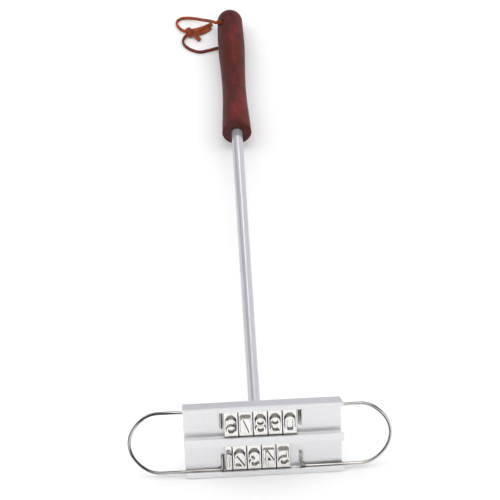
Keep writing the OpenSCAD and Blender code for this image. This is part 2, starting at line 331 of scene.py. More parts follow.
def shade(mesh: bpy.types.Mesh) -> None:
    """Smooths a mesh's shading, and keeps its sharper edges crisp."""
    mesh.shade_smooth()
    mesh.set_sharp_from_angle(angle=math.radians(CRISP))


def mesh_object(name: str, patch: Patch) -> bpy.types.Object:
    """A mesh object in metres from a surface in millimetres, welded, with its normals outwards.

    Args:
        name: the object's name.
        patch: its surface, in the frame's axes.

    Returns:
        The object, in the scene's collection.
    """
    mesh = bpy.data.meshes.new(name)
    mesh.from_pydata((patch.points * MM).tolist(), [], patch.faces)
    work = bmesh.new()
    work.from_mesh(mesh)
    bmesh.ops.remove_doubles(work, verts=work.verts, dist=WELD)
    bmesh.ops.recalc_face_normals(work, faces=work.faces)
    work.to_mesh(mesh)
    work.free()
    shade(mesh)
    piece = bpy.data.objects.new(name, mesh)
    bpy.context.scene.collection.objects.link(piece)
    return piece


def bore(piece: bpy.types.Object, tool: Patch) -> None:
    """Cuts a closed surface out of a piece and keeps the result as the piece's mesh.

    Args:
        piece: the piece to cut.
        tool: the surface to cut away, in the frame's axes.
    """
    cutter = mesh_object(piece.name + "_bore", tool)
    cut = piece.modifiers.new("bore", "BOOLEAN")
    cut.operation = "DIFFERENCE"
    cut.solver = "EXACT"
    cut.object = cutter
    graph = bpy.context.evaluated_depsgraph_get()
    whole, piece.data = piece.data, bpy.data.meshes.new_from_object(piece.evaluated_get(graph))
    piece.modifiers.clear()
    shade(piece.data)
    bpy.data.meshes.remove(whole)
    bpy.data.meshes.remove(cutter.data)


def linear(colour: str) -> tuple[float, float, float, float]:
    """An sRGB hex colour in linear light: a channel c becomes c / 12.92 up to 0.04045, and
    ((c + 0.055) / 1.055) ** 2.4 above that.

    Args:
        colour: the colour, as # and three pairs of hex digits.

    Returns:
        Its red, green, blue and alpha.
    """
    parts = [int(colour[i : i + 2], 16) / 255 for i in (1, 3, 5)]
    red, green, blue = (c / 12.92 if c <= 0.04045 else ((c + 0.055) / 1.055) ** 2.4 for c in parts)
    return red, green, blue, 1.0


def per_mm(size: float) -> float:
    """The texture scale, on coordinates in metres, whose features are this many millimetres across."""
    return 1 / (size * MM)


def add(
    tree: bpy.types.NodeTree, kind: str, inputs: dict | None = None, **settings: object
) -> bpy.types.Node:
    """Adds a shader node to a material.

    Args:
        tree: the material's node tree.
        kind: the node's type, without the ShaderNode that every type starts with.
        inputs: what goes into its sockets, by name or number: a node, whose first output in use is taken,
            one output of a node, a colour as sRGB hex, or another value.
        settings: the node's own settings.

    Returns:
        The node.
    """
    node = tree.nodes.new("ShaderNode" + kind)
    for name, value in settings.items():
        setattr(node, name, value)
    named = {socket.name: socket for socket in node.inputs if socket.enabled}
    for key, value in (inputs or {}).items():
        socket = named[key] if isinstance(key, str) else node.inputs[key]
        if isinstance(value, bpy.types.Node):
            value = next(output for output in value.outputs if output.enabled)
        if isinstance(value, bpy.types.NodeSocket):
            tree.links.new(value, socket)
        else:
            socket.default_value = linear(value) if isinstance(value, str) else value
    return node


@dataclass(frozen=True)
class Span:
    """A range of numbers that a pattern is stretched from or to.

    Attributes:
        low: what the pattern's low end is, or becomes.
        high: what its high end is, or becomes.
    """

    low: float
    high: float

    @property
    def taken(self) -> dict[str, float]:
        """The range as what a Map Range node takes in."""
        return {"From Min": self.low, "From Max": self.high}

    @property
    def given(self) -> dict[str, float]:
        """The range as what a Map Range node gives out."""
        return {"To Min": self.low, "To Max": self.high}


# Most of a noise texture's values lie in the first range, and nearly all of them in the second.
MOST_NOISE = Span(0.35, 0.65)
ALL_NOISE = Span(0.3, 0.7)


def looking(tree: bpy.types.NodeTree, way: tuple[float, float, float], span: Span) -> bpy.types.Node:
    """How much a surface looks one way: the dot product of its normal and that way, stretched to 0 to 1.

    Args:
        tree: the material's node tree.
        way: the direction, of length one, in the frame's axes.
        span: the products that become 0 and 1.

    Returns:
        The node that gives the share.
    """
    normal = add(tree, "TexCoord").outputs["Normal"]
    product = add(tree, "VectorMath", {0: normal, 1: way}, operation="DOT_PRODUCT")
    return add(tree, "MapRange", {"Value": product, **span.taken})


class Finish:
    """A surface finish that makes its own material once."""

    name: str

    def material(self) -> bpy.types.Material:
        """The finish's material, made at the first call.

        Returns:
            A material with one Principled BSDF, under the finish's name.
        """
        found = bpy.data.materials.get(self.name)
        if found:
            return found
        made = bpy.data.materials.new(self.name)
        made.use_nodes = True
        tree = made.node_tree
        tree.nodes.clear()
        place = add(tree, "TexCoord").outputs["Object"]
        shader = add(tree, "BsdfPrincipled", self.paint(tree, place))
        add(tree, "OutputMaterial", {"Surface": shader})
        return made

    def paint(self, tree: bpy.types.NodeTree, place: bpy.types.NodeSocket) -> dict[str, object]:
        """Adds the finish's nodes.

        Args:
            tree: the material's node tree.
            place: the Object coordinates, in metres.

        Returns:
            What goes into the Principled BSDF's sockets, by name.
        """
        raise NotImplementedError


@dataclass(frozen=True)
class SatinAluminium(Finish):
    """Aluminium that was extruded or drawn through a die and then etched: a pale neutral grey with a soft
    wide gloss, a fine sandy grain and faint die lines along its length. An upper face high on the holder
    gets painted shade: a darker tint, with a rougher finish.

    Attributes:
        name: the material's name.
        along: the axis that its die lines run along.
        pale: colour of its lighter grain.
        grey: colour of its darker grain.
        rough: roughness of its darker and of its lighter grain.
        line: width of a die line. Real ones are about 0.1 mm; these are coarser, so that they show.
        run: length of a die line.
        line_share: how much of the unevenness is die lines, and the rest is grain.
        grain: size of the etched grain. Real grain is about 0.05 mm; this is coarser, so that it shows.
        depth: depth of the grain.
        bump: strength of the grain in the light.
        metal: share of bare metal in the look. The rest is the soft white scatter of a clear anodised skin.
        top_shade: tint of the painted shade on an upper face.
        top_matt: roughness of an upper face.
        top_shade_from: height above the table from which an upper face has the painted shade and the
            roughness.
        upward: the way that an upper face looks.
        upper: how upright a face's normal is where the painted shade begins, and where it is full.
    """

    name: str
    along: Along
    pale: str = "#f0f0f0"
    grey: str = "#e0e0e2"
    rough: Span = Span(0.48, 0.36)
    line: float = 0.4
    run: float = 60.0
    line_share: float = 0.2
    grain: float = 0.35
    depth: float = 0.008
    bump: float = 0.5
    metal: float = 1.0
    top_shade: str = "#dedee2"
    top_matt: float = 0.6
    top_shade_from: float = 58.0
    upward: tuple[float, float, float] = (0.0, 0.0, 1.0)
    upper: Span = Span(0.7, 0.95)

    def paint(self, tree: bpy.types.NodeTree, place: bpy.types.NodeSocket) -> dict[str, object]:
        """Mixes die lines and grain into colour, roughness and a shallow bump, and paints shade on upper
        faces.

        Args:
            tree: the material's node tree.
            place: the Object coordinates, in metres.

        Returns:
            What goes into the Principled BSDF's sockets, by name.
        """
        stretch = [per_mm(self.line)] * 3
        stretch[self.along.value] = per_mm(self.run)
        drawn = add(tree, "Mapping", {"Vector": place, "Scale": stretch})
        lines = add(tree, "TexNoise", {"Vector": drawn, "Scale": 1.0, "Detail": 3.0})
        grain = add(tree, "TexNoise", {"Vector": place, "Scale": per_mm(self.grain), "Detail": 2.0})
        both = add(tree, "Mix", {"Factor": self.line_share, "A": grain, "B": lines})
        share = add(tree, "MapRange", {"Value": both, **MOST_NOISE.taken})
        tone = add(tree, "Mix", {"Factor": share, "A": self.grey, "B": self.pale}, data_type="RGBA")
        rough = add(tree, "MapRange", {"Value": share, **self.rough.given})
        # Painted shade: faces that look up, high on the holder, get a darker tint and a rougher finish.
        flat = looking(tree, self.upward, self.upper)
        level = add(tree, "SeparateXYZ", {"Vector": place}).outputs["Z"]
        high = add(tree, "Math", {0: level, 1: self.top_shade_from * MM}, operation="GREATER_THAN")
        top_shade = add(tree, "Math", {0: flat, 1: high}, operation="MULTIPLY")
        tinted = {"Factor": top_shade, "A": tone, "B": self.top_shade}
        colour = add(tree, "Mix", tinted, data_type="RGBA", blend_type="MULTIPLY")
        dulled = add(tree, "Mix", {"Factor": top_shade, "A": rough, "B": self.top_matt})
        bump = add(tree, "Bump", {"Height": both, "Strength": self.bump, "Distance": self.depth * MM})
        return {"Base Color": colour, "Metallic": self.metal, "Roughness": dulled, "Normal": bump}


@dataclass(frozen=True)
class PlatedCasting(Finish):
    """Zinc alloy, die cast and nickel plated, with its face buffed: bright faces with a sharp gloss that
    the casting's shallow orange-peel and small pits break, and dull walls that the buffing wheel never
    reached, painted grey as shade and darkest where they don't look up.

    Attributes:
        name: the material's name.
        bright: colour of the buffed plating.
        dull: colour in the pits.
        wall: colour of the walls that look up: painted shade.
        deep_shade: colour of the other walls: darker painted shade.
        rough: lowest and highest roughness of a face.
        wall_matt: roughness of the walls.
        facing: the way that the faces look, in the frame's axes.
        buffed_and_lit: how far a surface looks that way where the buffing and the unshaded colour begin, and
            are full.
        upward: the way that the upper walls look.
        looks_up: how far a wall looks up where its darker painted shade begins to thin, and where it is
            gone.
        peel: size of the orange-peel.
        pit: spacing of the pits.
        pit_rim: distance from a pit's middle where it is deepest, and where it ends, in spacings.
        depth: depth of the peel.
        bump: strength of the peel and the pits in the light.
        metal: share of bare metal in the look.
    """

    name: str = "nickel_plated_zinc_die_cast"
    bright: str = "#f4f2ee"
    dull: str = "#c2bfb9"
    wall: str = "#a19e98"
    deep_shade: str = "#3d3a37"
    rough: Span = Span(0.14, 0.26)
    wall_matt: float = 0.4
    facing: tuple[float, float, float] = (0.0, -1.0, 0.0)
    buffed_and_lit: Span = Span(0.6, 0.95)
    upward: tuple[float, float, float] = (0.0, 0.0, 1.0)
    looks_up: Span = Span(0.2, 0.8)
    peel: float = 2.2
    pit: float = 1.6
    pit_rim: Span = Span(0.08, 0.3)
    depth: float = 0.012
    bump: float = 0.6
    metal: float = 1.0

    def paint(self, tree: bpy.types.NodeTree, place: bpy.types.NodeSocket) -> dict[str, object]:
        """Lays peel and pits under the plating, dulls it in the pits, keeps gloss to the faces, paints shade
        on walls.

        Args:
            tree: the material's node tree.
            place: the Object coordinates, in metres.

        Returns:
            What goes into the Principled BSDF's sockets, by name.
        """
        # Painted shade: walls get a darker grey than the faces, darkest where they don't look up.
        buffed_and_lit = looking(tree, self.facing, self.buffed_and_lit)
        looks_up = looking(tree, self.upward, self.looks_up)
        shaded_walls = add(tree, "Mix", {"Factor": looks_up, "A": self.deep_shade, "B": self.wall}, data_type="RGBA")
        peel = add(tree, "TexNoise", {"Vector": place, "Scale": per_mm(self.peel), "Detail": 3.0})
        cells = add(tree, "TexVoronoi", {"Vector": place, "Scale": per_mm(self.pit)})
        pits = add(tree, "MapRange", {"Value": cells, **self.pit_rim.taken})
        tone = add(tree, "Mix", {"Factor": pits, "A": self.dull, "B": self.bright}, data_type="RGBA")
        colour = add(tree, "Mix", {"Factor": buffed_and_lit, "A": shaded_walls, "B": tone}, data_type="RGBA")
        gloss = add(tree, "MapRange", {"Value": peel, **ALL_NOISE.taken, **self.rough.given})
        rough = add(tree, "Mix", {"Factor": buffed_and_lit, "A": self.wall_matt, "B": gloss})
        height = add(tree, "Math", {0: peel, 1: pits}, operation="ADD")
        bump = add(tree, "Bump", {"Height": height, "Strength": self.bump, "Distance": self.depth * MM})
        return {"Base Color": colour, "Metallic": self.metal, "Roughness": rough, "Normal": bump}


@dataclass(frozen=True)
class BrightWire(Finish):
    """Spring steel wire, drawn bright through a die: polished steel with long darker streaks along the
    wire, painted in as dark reflections.

    Attributes:
        name: the material's name.
        bright: colour of the polished steel.
        dark_reflection: colour of the streaks, a painted dark reflection.
        rough: roughness of the polished steel and of the streaks.
        around: name of the mesh's attribute that goes round the wire in radii and along it in streaks.
        spread: how many streaks lie in one wire radius.
        border: values of the pattern where a streak begins, and where it is full.
        metal: share of bare metal in the look.
    """

    name: str = "bright_drawn_spring_wire"
    bright: str = "#cfccc8"
    dark_reflection: str = "#393633"
    rough: Span = Span(0.14, 0.26)
    around: str = "around"
    spread: float = 1.1
    border: Span = Span(0.43, 0.57)
    metal: float = 1.0

    def paint(self, tree: bpy.types.NodeTree, place: bpy.types.NodeSocket) -> dict[str, object]:
        """Runs streaks of painted dark reflection along the wire.

        Args:
            tree: the material's node tree.
            place: the Object coordinates, which the wire's own attribute stands in for.

        Returns:
            What goes into the Principled BSDF's sockets, by name.
        """
        around = add(tree, "Attribute", attribute_name=self.around).outputs["Vector"]
        # Painted reflection: dark streaks along the wire stand in for the darker surroundings that it
        # mirrors.
        reflection_streaks = add(tree, "TexNoise", {"Vector": around, "Scale": self.spread, "Detail": 1.0})
        share = add(tree, "MapRange", {"Value": reflection_streaks, **self.border.taken})
        tone = add(tree, "Mix", {"Factor": share, "A": self.bright, "B": self.dark_reflection}, data_type="RGBA")
        rough = add(tree, "MapRange", {"Value": share, **self.rough.given})
        return {"Base Color": tone, "Metallic": self.metal, "Roughness": rough}


@dataclass(frozen=True)
class StainedWood(Finish):
    """Close-grained hardwood, turned, stained dark red-brown and waxed: fine fibres along the handle,
    patches of open pores, darker clouds where the stain went in deeper, redder wood between them, a satin
    wax gloss, and dull brown end grain on the cut end.

    Attributes:
        name: the material's name.
        dark: colour where the stain is deepest.
        stain: colour of most of the wood.
        red: colour where the stain is thin.
        end_grain: lighter colour of the cut end, between its pores.
        fibre: width of a fibre. Real ones are about 0.1 mm; these are coarser, so that they show.
        fibre_run: length of a fibre.
        fibre_share: how dark the darkest fibres are, from none of the dark colour to all of it.
        pore: size of a patch of pores. Real pores are about 0.2 mm; these are coarser, so that they show.
        pore_share: how much the pores change the depth of the stain.
        cloud: size of the stain's clouds.
        cloud_run: length of the clouds along the handle.
        side_shade: how much deeper the stain's colour is painted towards -X: painted shade on that side.
        reach: distance from the handle's axis at which it is that much deeper.
        deep: values of the stain at which the deepest colour and the common one are reached.
        thin: values of the stain at which the red begins, and is full.
        cut_end: the way that the cut end looks.
        cut: how far a surface looks that way where the end grain begins, and where it is full.
        rough: roughness between the fibres and on them.
        depth: depth of the fibres.
        bump: strength of the fibres in the light.
        ior: refractive index of the wax.
        sheen: strength of the gloss. The stain sinks into open pores, which leaves little of it.
    """

    name: str = "stained_waxed_hardwood"
    dark: str = "#4a1f1c"
    stain: str = "#5c201d"
    red: str = "#84292a"
    end_grain: str = "#573734"
    fibre: float = 0.5
    fibre_run: float = 14.0
    fibre_share: float = 0.5
    pore: float = 1.5
    pore_share: float = 0.05
    cloud: float = 7.0
    cloud_run: float = 22.0
    side_shade: float = 0.16
    reach: float = 9.0
    deep: Span = Span(0.33, 0.55)
    thin: Span = Span(0.41, 0.76)
    cut_end: tuple[float, float, float] = (0.0, -1.0, 0.0)
    cut: Span = Span(0.6, 0.9)
    rough: Span = Span(0.45, 0.6)
    depth: float = 0.03
    bump: float = 0.5
    ior: float = 1.5
    sheen: float = 0.12

    def paint(self, tree: bpy.types.NodeTree, place: bpy.types.NodeSocket) -> dict[str, object]:
        """Lays fibres over clouds of stain and pores, with the wax glossier where the fibres lie low.

        Args:
            tree: the material's node tree.
            place: the Object coordinates, in metres.

        Returns:
            What goes into the Principled BSDF's sockets, by name.
        """
        fine = [per_mm(self.fibre), per_mm(self.fibre_run), per_mm(self.fibre)]
        broad = [per_mm(self.cloud), per_mm(self.cloud_run), per_mm(self.cloud)]
        fibre_place = add(tree, "Mapping", {"Vector": place, "Scale": fine})
        cloud_place = add(tree, "Mapping", {"Vector": place, "Scale": broad})
        fibres = add(tree, "TexNoise", {"Vector": fibre_place, "Scale": 1.0, "Detail": 4.0})
        clouds = add(tree, "TexNoise", {"Vector": cloud_place, "Scale": 1.0, "Detail": 3.0})
        specks = add(tree, "TexNoise", {"Vector": place, "Scale": per_mm(self.pore), "Detail": 2.0})
        pores = add(tree, "MapRange", {"Value": specks, **MOST_NOISE.taken})
        opened = Span(-self.pore_share, self.pore_share)
        open_pores = add(tree, "MapRange", {"Value": pores, **opened.given})
        # Painted shade: the colour deepens across the handle towards -X.
        side = add(tree, "SeparateXYZ", {"Vector": place}).outputs["X"]
        sides, depths = Span(-self.reach * MM, self.reach * MM), Span(-self.side_shade, self.side_shade)
        side_shade = add(tree, "MapRange", {"Value": side, **sides.taken, **depths.given})
        mottled = add(tree, "Math", {0: clouds, 1: open_pores}, operation="ADD")
        stain = add(tree, "Math", {0: mottled, 1: side_shade}, operation="ADD")
        deep = add(tree, "MapRange", {"Value": stain, **self.deep.taken})
        thin = add(tree, "MapRange", {"Value": stain, **self.thin.taken})
        shares = Span(0.0, self.fibre_share)
        grain = add(tree, "MapRange", {"Value": fibres, **ALL_NOISE.taken, **shares.given})
        tone = add(tree, "Mix", {"Factor": deep, "A": self.dark, "B": self.stain}, data_type="RGBA")
        warm = add(tree, "Mix", {"Factor": thin, "A": tone, "B": self.red}, data_type="RGBA")
        streaked = add(tree, "Mix", {"Factor": grain, "A": warm, "B": self.dark}, data_type="RGBA")
        cut = looking(tree, self.cut_end, self.cut)
        sawn = add(tree, "Mix", {"Factor": pores, "A": self.dark, "B": self.end_grain}, data_type="RGBA")
        colour = add(tree, "Mix", {"Factor": cut, "A": streaked, "B": sawn}, data_type="RGBA")
        rough = add(tree, "MapRange", {"Value": fibres, **ALL_NOISE.taken, **self.rough.given})
        bump = add(tree, "Bump", {"Height": fibres, "Strength": self.bump, "Distance": self.depth * MM})
        wax = {"IOR": self.ior, "Specular IOR Level": self.sheen}
        return {"Base Color": colour, "Roughness": rough, "Normal": bump, **wax}


@dataclass(frozen=True)
class WaxedLeather(Finish):
    """Vegetable-tanned leather, cut as a lace and waxed: orange-brown, darker where it was handled, with a
    pebbled grain and a dull gloss.

    Attributes:
        name: the material's name.
        tan: colour of the fresh leather.
        dark: colour where it was handled.
        grain: size of the pebbles. Real ones are about 0.3 mm; these are coarser, so that they show.
        patch: size of the darker patches.
        rough: roughness in a pebble's middle and a whole pebble away from it.
        depth: depth of the pebbles.
        bump: strength of the pebbles in the light.
        ior: refractive index of the wax.
        sheen: strength of the gloss, which is low on soft waxed leather.
    """

    name: str = "waxed_leather_lace"
    tan: str = "#a84d24"
    dark: str = "#742f16"
    grain: float = 0.5
    patch: float = 6.0
    rough: Span = Span(0.6, 0.45)
    depth: float = 0.06
    bump: float = 0.6
    ior: float = 1.5
    sheen: float = 0.25

    def paint(self, tree: bpy.types.NodeTree, place: bpy.types.NodeSocket) -> dict[str, object]:
        """Lays a pebbled grain over darker patches.

        Args:
            tree: the material's node tree.
            place: the Object coordinates, in metres.

        Returns:
            What goes into the Principled BSDF's sockets, by name.
        """
        pebbles = add(tree, "TexVoronoi", {"Vector": place, "Scale": per_mm(self.grain)})
        patches = add(tree, "TexNoise", {"Vector": place, "Scale": per_mm(self.patch), "Detail": 4.0})
        share = add(tree, "MapRange", {"Value": patches, **MOST_NOISE.taken})
        tone = add(tree, "Mix", {"Factor": share, "A": self.dark, "B": self.tan}, data_type="RGBA")
        rough = add(tree, "MapRange", {"Value": pebbles, **self.rough.given})
        bump = add(tree, "Bump", {"Height": pebbles, "Strength": self.bump, "Distance": self.depth * MM})
        wax = {"IOR": self.ior, "Specular IOR Level": self.sheen}
        return {"Base Color": tone, "Roughness": rough, "Normal": bump, **wax}


@dataclass(frozen=True)
class PaintedFloor(Finish):
    """A studio table painted matt white, with the faint unevenness of a roller.

    Attributes:
        name: the material's name.
        white: colour of most of it.
        off_white: colour of its duller patches.
        patch: size of the patches.
        matt: roughness of the paint.
        sheen: strength of its gloss.
    """

    name: str = "matt_white_table_paint"
    white: str = "#fbfbfb"
    off_white: str = "#f8f8f8"
    patch: float = 90.0
    matt: float = 0.9
    sheen: float = 0.2

    def paint(self, tree: bpy.types.NodeTree, place: bpy.types.NodeSocket) -> dict[str, object]:
        """Mixes two near whites.

        Args:
            tree: the material's node tree.
            place: the Object coordinates, in metres.

        Returns:
            What goes into the Principled BSDF's sockets, by name.
        """
        patches = add(tree, "TexNoise", {"Vector": place, "Scale": per_mm(self.patch), "Detail": 2.0})
        tone = add(tree, "Mix", {"Factor": patches, "A": self.off_white, "B": self.white}, data_type="RGBA")
        return {"Base Color": tone, "Roughness": self.matt, "Specular IOR Level": self.sheen}


HOLDER_FINISH = SatinAluminium("satin_extruded_aluminium", Along.HOLDER)
ROD_FINISH = SatinAluminium(
    "clear_anodised_drawn_aluminium", Along.ROD, pale="#c4c3c9", grey="#b8b7bd", rough=Span(0.22, 0.15),
    line_share=0.8, depth=0.003, metal=0.5,
)
TYPE_FINISH = PlatedCasting()
WIRE_FINISH = BrightWire()
WOOD_FINISH = StainedWood()
LEATHER_FINISH = WaxedLeather()
# Painted shade: a darker copy of the lace leather, for the rear strand.
SHADED_LACE_FINISH = WaxedLeather("waxed_leather_shaded_strand", tan="#74301c", dark="#54201a")
FLOOR_FINISH = PaintedFloor()


def dress(
    piece: bpy.types.Object, finish: Finish, body: str, nodes: list[str]
) -> bpy.types.Object:
    """Gives a piece its finish and its body, and hides the nodes that it stands for.

    Args:
        piece: the piece.
        finish: its finish.
        body: the body that it moves with.
        nodes: the nodes that it replaces.

    Returns:
        The dressed piece.
    """
    piece.data.materials.clear()
    piece.data.materials.append(finish.material())
    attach(piece, body)
    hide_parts(*nodes)
    LOG.info("%s: %d faces on %s, in %s", piece.name, len(piece.data.polygons), body, finish.name)
    return piece


@dataclass(frozen=True)
class Lay:
    """How the tool lies on the table: tipped about X, the middle of the holder's lower side at a point.

    Attributes:
        lean: the tip, in radians.
        foot: the frame's point, in millimetres, where that middle lies.
        pivot: the same middle in the tool's axes, as Y and Z.
    """

    lean: float
    foot: tuple[float, float, float]
    pivot: tuple[float, float]

    def place(self, points: np.ndarray) -> np.ndarray:
        """The tool's points in the frame's axes: (y, z) from the pivot, turned by the lean, plus the foot.

        Args:
            points: array of shape (..., 3).

        Returns:
            An array like points.
        """
        across, back, up = points[..., 0], points[..., 1] - self.pivot[0], points[..., 2] - self.pivot[1]
        turned = [across, back * math.cos(self.lean) + up * math.sin(self.lean)]
        turned.append(up * math.cos(self.lean) - back * math.sin(self.lean))
        return np.stack(turned, axis=-1) + np.asarray(self.foot)

    def lay(self, patch: Patch) -> Patch:
        """A surface drawn in the tool's axes, in the frame's axes."""
        return Patch(self.place(patch.points), patch.faces)


@dataclass(frozen=True)
class Holder:
    """The aluminium extrusion that holds the type: two undercut channels, a rib between and a spine behind.

    Attributes:
        length: length along X.
        height: height of the face.
        floor: thickness of the plate behind the channels.
        slot: depth of the undercut slots.
        flange: thickness of the lips.
        lip: width of the outer lips.
        rib: width of the rib between the channels.
        undercut: how far a slot reaches in under its lip.
        spine_width: width of the spine on the back.
        spine_depth: thickness of the spine.
        edge: radius of the long outer edges.
        nose: radius of the lips' inner edges.
        root: radius in the slots' corners.
        saw_edge: radius of the deburred sawn ends.
        end_slant: angle of the right end's saw cut from square, in degrees, which leaves the back shorter.
        corner_cut: size of the two lower corners that are filed off.
    """

    length: float = 101.6
    height: float = 62.0
    floor: float = 2.0
    slot: float = 2.4
    flange: float = 1.6
    lip: float = 4.4
    rib: float = 7.0
    undercut: float = 1.5
    spine_width: float = 14.0
    spine_depth: float = 6.0
    edge: float = 0.6
    nose: float = 0.35
    root: float = 0.25
    saw_edge: float = 0.3
    end_slant: float = 22.0
    corner_cut: float = 2.0

    @property
    def thickness(self) -> float:
        """Thickness of the plate with its lips."""
        return self.floor + self.slot + self.flange

    @property
    def spine_back(self) -> float:
        """Y of the spine's back."""
        return self.thickness + self.spine_depth

    @property
    def lip_edge(self) -> float:
        """Z of an outer lip's inner edge."""
        return self.height / 2 - self.lip

    @property
    def channel_height(self) -> float:
        """Width of a channel between its lips."""
        return self.lip_edge - self.rib / 2

    @property
    def channel_middle(self) -> float:
        """Z of the upper channel's middle."""
        return (self.lip_edge + self.rib / 2) / 2

    def outline(self) -> np.ndarray:
        """The section in Y and Z: its corners from the face's middle down to the spine, then their mirror.

        Returns:
            The rounded section, anticlockwise.
        """
        wall, back, half = self.flange + self.slot, self.thickness, self.height / 2
        rib, lip, deep = self.rib / 2, self.lip_edge, self.undercut
        half_corners = [
            (0.0, -rib, self.nose), (self.flange, -rib, self.nose), (self.flange, -rib + deep, self.root),
            (wall, -rib + deep, self.root), (wall, -lip - deep, self.root),
            (self.flange, -lip - deep, self.root), (self.flange, -lip, self.nose), (0.0, -lip, self.nose),
            (0.0, -half, self.edge), (back, -half, self.edge), (back, -self.spine_width / 2, self.edge),
            (self.spine_back, -self.spine_width / 2, self.edge),
        ]
        corners = half_corners + [(y, -z, radius) for y, z, radius in reversed(half_corners)]
        return rounded([(y, z) for y, z, _ in corners], [radius for _, _, radius in corners], steps=4)

    def corner_waste(self, end: Side) -> Patch:
        """What the file takes off a lower corner: a bar along Y whose section is a square on its point.

        Args:
            end: the end of the holder.

        Returns:
            A closed surface that reaches past the face and the spine.
        """
        square = arc((end.value * self.length / 2, -self.height / 2), self.corner_cut, 0, 360, 4)[:-1]
        depth = np.asarray([-self.thickness, self.spine_back + self.thickness])
        return grid_patch(set_back(np.stack([square, square]), depth[:, None]))

    def build(self, lay: Lay, rod: "Rod") -> bpy.types.Object:
        """The holder, with filed corners and the blind hole that takes the rod's thread.

        Args:
            lay: how the tool lies.
            rod: the rod that screws in.

        Returns:
            The dressed piece.
        """
        slant = math.tan(math.radians(self.end_slant))
        bar = extruded(self.outline(), -self.length / 2, self.length / 2, self.saw_edge, slant)
        piece = mesh_object("type_holder", lay.lay(bar))
        for waste in [rod.thread_hole(self.spine_back)] + [self.corner_waste(end) for end in Side]:
            bore(piece, lay.lay(waste))
        return dress(piece, HOLDER_FINISH, TOOL, ["head_channel"])


@dataclass(frozen=True)
class Rod:
    """The drawn aluminium rod between the holder and the handle, with a turned end that screws in.

    Attributes:
        diameter: diameter of the rod.
        length: length between the holder's spine and the handle.
        offset: place along the holder, from its middle.
        thread: diameter of the threaded end.
        thread_length: length of the threaded end.
        thread_room: clearance round the threaded end.
        tang: length glued into the handle.
        chamfer: chamfer at the rod's ends.
        sides: sides of the turn.
    """

    diameter: float = 7.6
    length: float = 287.6
    offset: float = -4.8
    thread: float = 6.0
    thread_length: float = 5.0
    thread_room: float = 0.05
    tang: float = 55.0
    chamfer: float = 0.35
    sides: int = 96

    def shifted(self, patch: Patch, along: float) -> Patch:
        """A surface about Y, moved to the rod's line and along it."""
        return Patch(patch.points + np.asarray([self.offset, along, 0.0]), patch.faces)

    def thread_hole(self, spine_back: float) -> Patch:
        """The blind hole in the spine, as a surface to cut away.

        Args:
            spine_back: Y of the spine's back.

        Returns:
            A closed cylinder that reaches past the spine's back.
        """
        radius, depth = self.thread / 2 + self.thread_room, self.thread_length + self.thread_room
        profile = np.asarray([(0.0, -depth), (radius, -depth), (radius, depth), (0.0, depth)])
        return self.shifted(revolved(profile, self.sides), spine_back)

    def build(self, lay: Lay, spine_back: float) -> bpy.types.Object:
        """The rod, from its threaded end to the end of its tang.

        Args:
            lay: how the tool lies.
            spine_back: Y of the holder's spine, which the rod's shoulder meets.

        Returns:
            The dressed piece.
        """
        outer, inner, cut = self.diameter / 2, self.thread / 2, self.chamfer
        end = self.length + self.tang
        profile = np.asarray([
            (0.0, -self.thread_length), (inner - cut, -self.thread_length),
            (inner, cut - self.thread_length), (inner, 0.0), (outer - cut / 2, 0.0), (outer, cut / 2),
            (outer, end - cut), (outer - cut, end), (0.0, end),
        ])
        piece = mesh_object("drawn_rod", lay.lay(self.shifted(revolved(profile, self.sides), spine_back)))
        return dress(piece, ROD_FINISH, TOOL, ["rod"])


